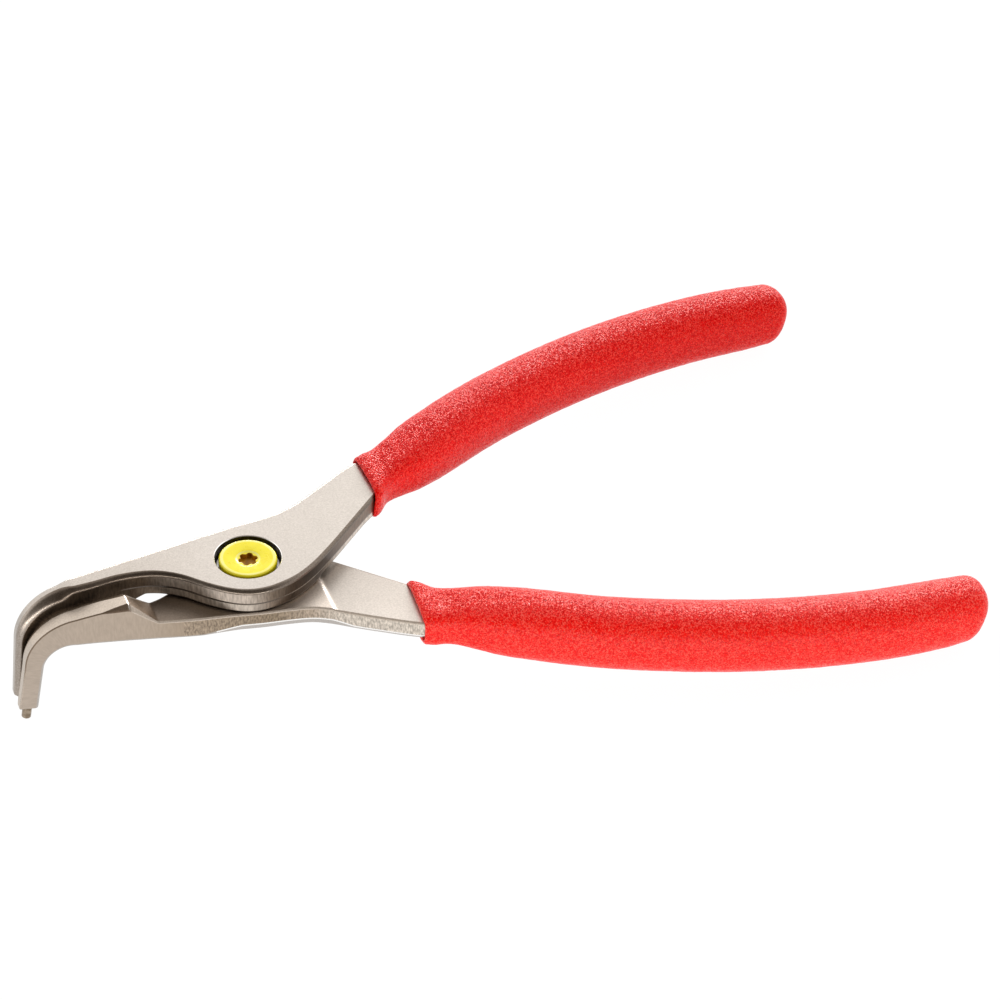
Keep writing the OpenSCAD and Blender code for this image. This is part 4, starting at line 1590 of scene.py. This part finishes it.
@dataclass
class PivotScrew:
    """Shouldered screw with a low round head and a six-lobed socket, in millimetres."""

    head_r: float = 5.5
    head_low: float = 3.25
    head_top: float = 5.2
    rim: float = 0.5
    shoulder_r: float = 3.0
    thread_r: float = 2.4
    thread_end: float = -4.2
    nut_top: float = -2.45
    socket_mid: float = 1.68
    socket_wave: float = 0.27
    socket_depth: float = 1.5
    dish: float = 0.2
    dip: float = 0.4
    dip_r: float = 1.95
    dip_flare: float = 0.35
    sides: int = 144

    def circle(self, radius: float, height: float) -> list[Point]:
        """A round ring."""
        return self.lobed(radius, 0, height)

    def lobed(self, radius: float, wave: float, height: float) -> list[Point]:
        """A ring with six lobes.

        Args:
            radius: Mean radius.
            wave: How far the lobes stand out from it.
            height: Height of the ring.

        Returns:
            The ring's points.
        """
        ring = []
        for i in range(self.sides):
            angle = 2 * math.pi * i / self.sides
            r = radius + wave * math.cos(6 * angle)
            ring.append((r * math.cos(angle), r * math.sin(angle), height))
        return ring

    def mesh(self, name: str) -> bpy.types.Mesh:
        """The whole screw; the socket takes the second finish and the painted highlights on the rims the
        third.

        Args:
            name: The mesh's name.

        Returns:
            The mesh, in millimetres.
        """
        top = self.head_top
        sunk = top - self.dip
        outside = eased([(0, self.thread_end), (self.thread_r, self.thread_end),
                         (self.thread_r, self.nut_top), (self.shoulder_r, self.nut_top),
                         (self.shoulder_r, self.head_low),
                         (self.head_r, self.head_low), (self.head_r, top - self.rim)], 0.15)[1:]
        rings = [[(0, 0, self.thread_end)], *[self.circle(r, z) for r, z in outside]]
        # painted highlight on the head's rounded rim
        highlit = set(range(len(rings) + 5, len(rings) + 8))
        for k in range(1, 9):
            swing = math.pi / 2 * k / 8
            inset = self.rim * (1 - math.cos(swing))
            rings.append(self.circle(self.head_r - inset, top - self.rim * (1 - math.sin(swing))))
        edge = self.dip_r + self.dip_flare
        for k in range(1, 9):
            share = k / 8
            r = self.head_r - self.rim + (edge - self.head_r + self.rim) * share
            rings.append(self.circle(r, top - self.dish * share**2))
        for r, z in ((edge - 0.09, top - self.dish - 0.06), (self.dip_r + 0.03, sunk + 0.03),
                     (self.dip_r - 0.08, sunk)):
            rings.append(self.circle(r, z))
        mouth = len(rings)
        # painted highlight round the socket's dip
        highlit |= set(range(mouth - 4, mouth - 2))
        for grow, drop in ((0.1, 0), (0.03, 0.03), (0, 0.1), (0, self.socket_depth - self.dip - 0.05),
                           (-0.05, self.socket_depth - self.dip)):
            rings.append(self.lobed(self.socket_mid + grow, self.socket_wave, sunk - drop))
        rings.append(self.circle(0.5, top - self.socket_depth - 0.12))
        rings.append([(0, 0, top - self.socket_depth - 0.3)])
        draft = Draft()
        placed = [draft.ring(ring) for ring in rings]
        for i in range(len(placed) - 1):
            finish = 2 if i in highlit else int(i >= mouth)
            draft.bridge(placed[i], placed[i + 1], [finish] * self.sides, (i, i + 1))
        return draft.mesh(name)


@dataclass
class SmallTurned:
    """The turned small pieces: tip pins, washer and nut, in millimetres."""

    pin_r: float = 0.9
    pin_length: float = 2.7
    pin_chamfer: float = 0.2
    shank_r: float = 0.65
    shank_length: float = 5.7
    washer_r: float = 6.0
    washer_low: float = 2.85
    washer_height: float = 0.4
    bore_r: float = 3.05
    nut_r: float = 5.5
    nut_low: float = -4.35
    nut_height: float = 1.9
    nut_bore_r: float = 2.45

    def pin(self, name: str) -> bpy.types.Mesh:
        """Stepped pin whose shank goes up into the tip."""
        low = -self.pin_length
        return turned(eased([(0, self.shank_length), (self.shank_r, self.shank_length), (self.shank_r, 0),
                             (self.pin_r, 0), (self.pin_r, low + self.pin_chamfer),
                             (self.pin_r - self.pin_chamfer, low), (0, low)], 0.05), name, 0, 48)

    def ring(self, name: str, radii: Pair, low: float, height: float, ease: float) -> bpy.types.Mesh:
        """Flat ring with eased edges.

        Args:
            name: The mesh's name.
            radii: Its inner and outer radius.
            low: Height of its underside.
            height: Its thickness.
            ease: Rounding of its edges.

        Returns:
            The mesh, in millimetres.
        """
        inner, outer = radii
        top = low + height
        return turned(eased([(inner, low), (outer, low), (outer, top), (inner, top)], ease), name)

    def washer(self) -> bpy.types.Mesh:
        """Washer under the screw's head."""
        radii = (self.bore_r, self.washer_r)
        return self.ring("head_washer", radii, self.washer_low, self.washer_height, 0.1)

    def nut(self) -> bpy.types.Mesh:
        """Round nut, flush with the underside."""
        radii = (self.nut_bore_r, self.nut_r)
        return self.ring("pivot_nut", radii, self.nut_low, self.nut_height, 0.2)


class Body(str, Enum):
    """The two bodies of the tool."""

    NEAR = "near_half"
    FAR = "far_half"


class Pliers:
    """The whole tool: its pieces in order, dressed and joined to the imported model."""

    def __init__(self, place: ToolPlace, finishes: Finishes) -> None:
        """Sets up the forms of the two halves.

        Args:
            place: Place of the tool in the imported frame.
            finishes: Materials of the pieces.
        """
        self.place = place
        self.finishes = finishes
        line = HandleLine()
        self.far = FarLever(line, bend_r=8.3, tip_lean=4, path_z=3.0)
        self.near = NearLever(line, bend_r=8.0, tip_lean=8, path_z=-1.3)
        self.small = SmallTurned()

    def levers(self) -> None:
        """Both forged levers, drilled for the joint and the pins."""
        near = (self.near, "near_lever", Body.NEAR, self.place.mirrored(), self.finishes.near_lever)
        far = (self.far, "far_lever", Body.FAR, self.place.matrix, self.finishes.far_lever)
        for lever, node, body, matrix, materials in (near, far):
            piece = Piece(f"{node}_forging", lever.blank(node), materials)
            piece.cut(lever.drill())
            piece.settle(matrix, body.value, node)

    def grips(self) -> None:
        """Both dipped grips."""
        far_mouth = (self.far.far_top - self.far.face_fall + self.far.far_relief) / 2
        near_mouth = (self.near.near_low + self.near.face_fall - self.near.near_relief) / 2
        near = Grip(self.near, self.near.grip_z, near_mouth, (-0.45, -0.4, 0.05))
        far = Grip(self.far, self.far.grip_z, far_mouth, (0.4, -0.15, 0.4))
        # the far grip takes the darker copy of the vinyl, painted shade
        for grip, node, body, matrix, vinyl in (
                (near, "near_grip", Body.NEAR, self.place.mirrored(), self.finishes.near_vinyl),
                (far, "far_grip", Body.FAR, self.place.matrix, self.finishes.shaded_far_vinyl)):
            piece = Piece(f"{node}_sleeve", grip.mesh(node), [vinyl])
            piece.settle(matrix, body.value, node, crease=60)

    def pins(self) -> None:
        """The pins in the bent tips."""
        for lever, node, body, matrix in ((self.near, "near_tip_pin", Body.NEAR, self.place.mirrored()),
                                          (self.far, "far_tip_pin", Body.FAR, self.place.matrix)):
            piece = Piece(f"{node}_turned", self.small.pin(node), [self.finishes.pin])
            piece.settle(matrix @ lever.tip_matrix(), body.value, node)

    def joint(self) -> None:
        """The screw, its washer and nut, and the finish of the hidden spring."""
        body = Body.NEAR.value
        screw = Piece("pivot_screw_coated", PivotScrew().mesh("pivot_screw"),
                      [self.finishes.coat, self.finishes.socket, self.finishes.highlight_coat])
        screw.settle(self.place.matrix, body, "pivot_screw")
        washer = Piece("head_washer_turned", self.small.washer(), [self.finishes.zinc])
        washer.settle(self.place.matrix, body, "head_washer")
        nut = Piece("pivot_nut_turned", self.small.nut(), [self.finishes.zinc])
        nut.settle(self.place.matrix, body, "pivot_nut")
        spring = frame["nodes"]["return_spring"]
        spring.data.materials.clear()
        spring.data.materials.append(self.finishes.spring)
        LOG.info("return_spring: packed node, on %s", body)

    def build(self) -> None:
        """Builds every piece."""
        self.levers()
        self.grips()
        self.pins()
        self.joint()


@dataclass
class Studio:
    """Camera, floor and light; lengths in millimetres and angles in degrees."""

    target: Point = (11.07, 7.097, 12.8)
    distance: float = 652.27
    azimuth: float = -19.199
    elevation: float = 42.757
    roll: float = -1.967
    lens: float = 121.1
    sensor: float = 36.0
    clip: Pair = (0.01, 50.0)
    floor_size: float = 12000.0
    floor_drop: float = 0.05
    floor_glow: float = 0.92
    floor_white: float = 0.93
    floor_shine: float = 1.05
    floor_rough: float = 0.9
    floor_color: Color = (0.9, 0.9, 0.9)
    dim_side: Point = (-0.24, -0.69, 0.68)
    bright_tone: Color = (1.45, 1.42, 1.39)
    dim_tone: Color = (0.24, 0.215, 0.19)
    room_span: Pair = (0.2, 0.85)
    lamp_tint: Color = (1.0, 0.98, 0.96)

    def camera(self) -> None:
        """The camera at the photograph's viewing angle."""
        a = math.radians(self.azimuth)
        e = math.radians(self.elevation)
        back = Vector((math.sin(a) * math.cos(e), -math.cos(a) * math.cos(e), math.sin(e)))
        data = bpy.data.cameras.new("camera")
        data.lens = self.lens
        data.sensor_width = self.sensor
        data.clip_start, data.clip_end = self.clip
        eye = bpy.data.objects.new("camera", data)
        bpy.context.scene.collection.objects.link(eye)
        turn = (-back).to_track_quat("-Z", "Y").to_matrix().to_4x4()
        spot = (Vector(self.target) + back * self.distance) * MM
        eye.matrix_world = Matrix.Translation(spot) @ turn @ Matrix.Rotation(math.radians(self.roll), 4, "Z")
        bpy.context.scene.camera = eye

    def floor(self) -> None:
        """A pale floor that the camera sees as white, apart from the tool's shadow."""
        half = self.floor_size * MM / 2
        low = -self.floor_drop * MM
        mesh = bpy.data.meshes.new("floor")
        mesh.from_pydata([(-half, -half, low), (half, -half, low), (half, half, low), (-half, half, low)],
                         [], [(0, 1, 2, 3)])
        plane = bpy.data.objects.new("floor", mesh)
        bpy.context.scene.collection.objects.link(plane)
        mesh.materials.append(self.floor_material())

    def floor_material(self) -> bpy.types.Material:
        """Matt white that glows, more so for the camera.

        Returns:
            The material.
        """
        graph = Graph("floor")
        graph.shader.inputs["Base Color"].default_value = (*self.floor_color, 1)
        graph.shader.inputs["Roughness"].default_value = self.floor_rough
        graph.shader.inputs["Specular IOR Level"].default_value = 0.0
        path = graph.add("ShaderNodeLightPath")
        share = graph.add("ShaderNodeMapRange")
        share.inputs["To Min"].default_value = self.floor_glow
        share.inputs["To Max"].default_value = self.floor_white
        graph.link(path.outputs["Is Camera Ray"], share.inputs["Value"])
        glow = graph.add("ShaderNodeEmission")
        glow.inputs["Strength"].default_value = self.floor_shine
        mix = graph.add("ShaderNodeMixShader")
        graph.link(share.outputs["Result"], mix.inputs["Fac"])
        graph.link(graph.shader.outputs["BSDF"], mix.inputs[1])
        graph.link(glow.outputs["Emission"], mix.inputs[2])
        graph.link(mix.outputs["Shader"], graph.tree.nodes["Material Output"].inputs["Surface"])
        return graph.material

    def lamp(self, name: str, spot: Point, size: Pair, power: float) -> None:
        """A soft rectangular lamp that looks at the tool.

        Args:
            name: The lamp's name.
            spot: Its place, in metres.
            size: Its width and height, in metres.
            power: Its power, in watts.
        """
        data = bpy.data.lights.new(name, "AREA")
        data.shape = "RECTANGLE"
        data.size, data.size_y = size
        data.energy = power
        data.color = self.lamp_tint
        lamp = bpy.data.objects.new(name, data)
        bpy.context.scene.collection.objects.link(lamp)
        lamp.location = spot
        lamp.rotation_mode = "QUATERNION"
        lamp.rotation_quaternion = (-Vector(spot)).to_track_quat("-Z", "Y")

    def room(self) -> None:
        """A bright room that is dim and warm round the camera."""
        world = bpy.data.worlds.new("room")
        bpy.context.scene.world = world
        world.use_nodes = True
        tree = world.node_tree
        place = tree.nodes.new("ShaderNodeTexCoord")
        facing = tree.nodes.new("ShaderNodeVectorMath")
        facing.operation = "DOT_PRODUCT"
        facing.inputs[1].default_value = Vector(self.dim_side).normalized()
        ramp = tree.nodes.new("ShaderNodeValToRGB")
        ramp.color_ramp.interpolation = "EASE"
        tones = (self.bright_tone, self.dim_tone)
        for stop, tone, spot in zip(ramp.color_ramp.elements, tones, self.room_span):
            stop.position = spot
            stop.color = (*tone, 1)
        tree.links.new(place.outputs["Generated"], facing.inputs[0])
        tree.links.new(facing.outputs["Value"], ramp.inputs["Fac"])
        tree.links.new(ramp.outputs["Color"], tree.nodes["Background"].inputs["Color"])

    def light(self) -> None:
        """A small lamp and a low wide one behind the tool, a low wide one before it, and the room."""
        self.lamp("glint", (1.0, 1.05, 0.45), (0.3, 0.3), 3.0)
        self.lamp("back_rim", (0.6, 1.65, 0.28), (1.4, 0.15), 11.0)
        self.lamp("front_fill", (-0.5, -1.6, 0.12), (3.0, 0.2), 22.0)
        self.room()

    def build(self) -> None:
        """Sets the view and builds the studio."""
        bpy.context.scene.view_settings.view_transform = "Standard"
        self.camera()
        self.floor()
        self.light()


def main() -> None:
    """Builds the studio and the tool."""
    logging.basicConfig(level=logging.INFO, format="%(name)s: %(message)s")
    Studio().build()
    Pliers(ToolPlace(frame["joints"][0]), Finishes()).build()


if __name__ == "__main__":
    main()
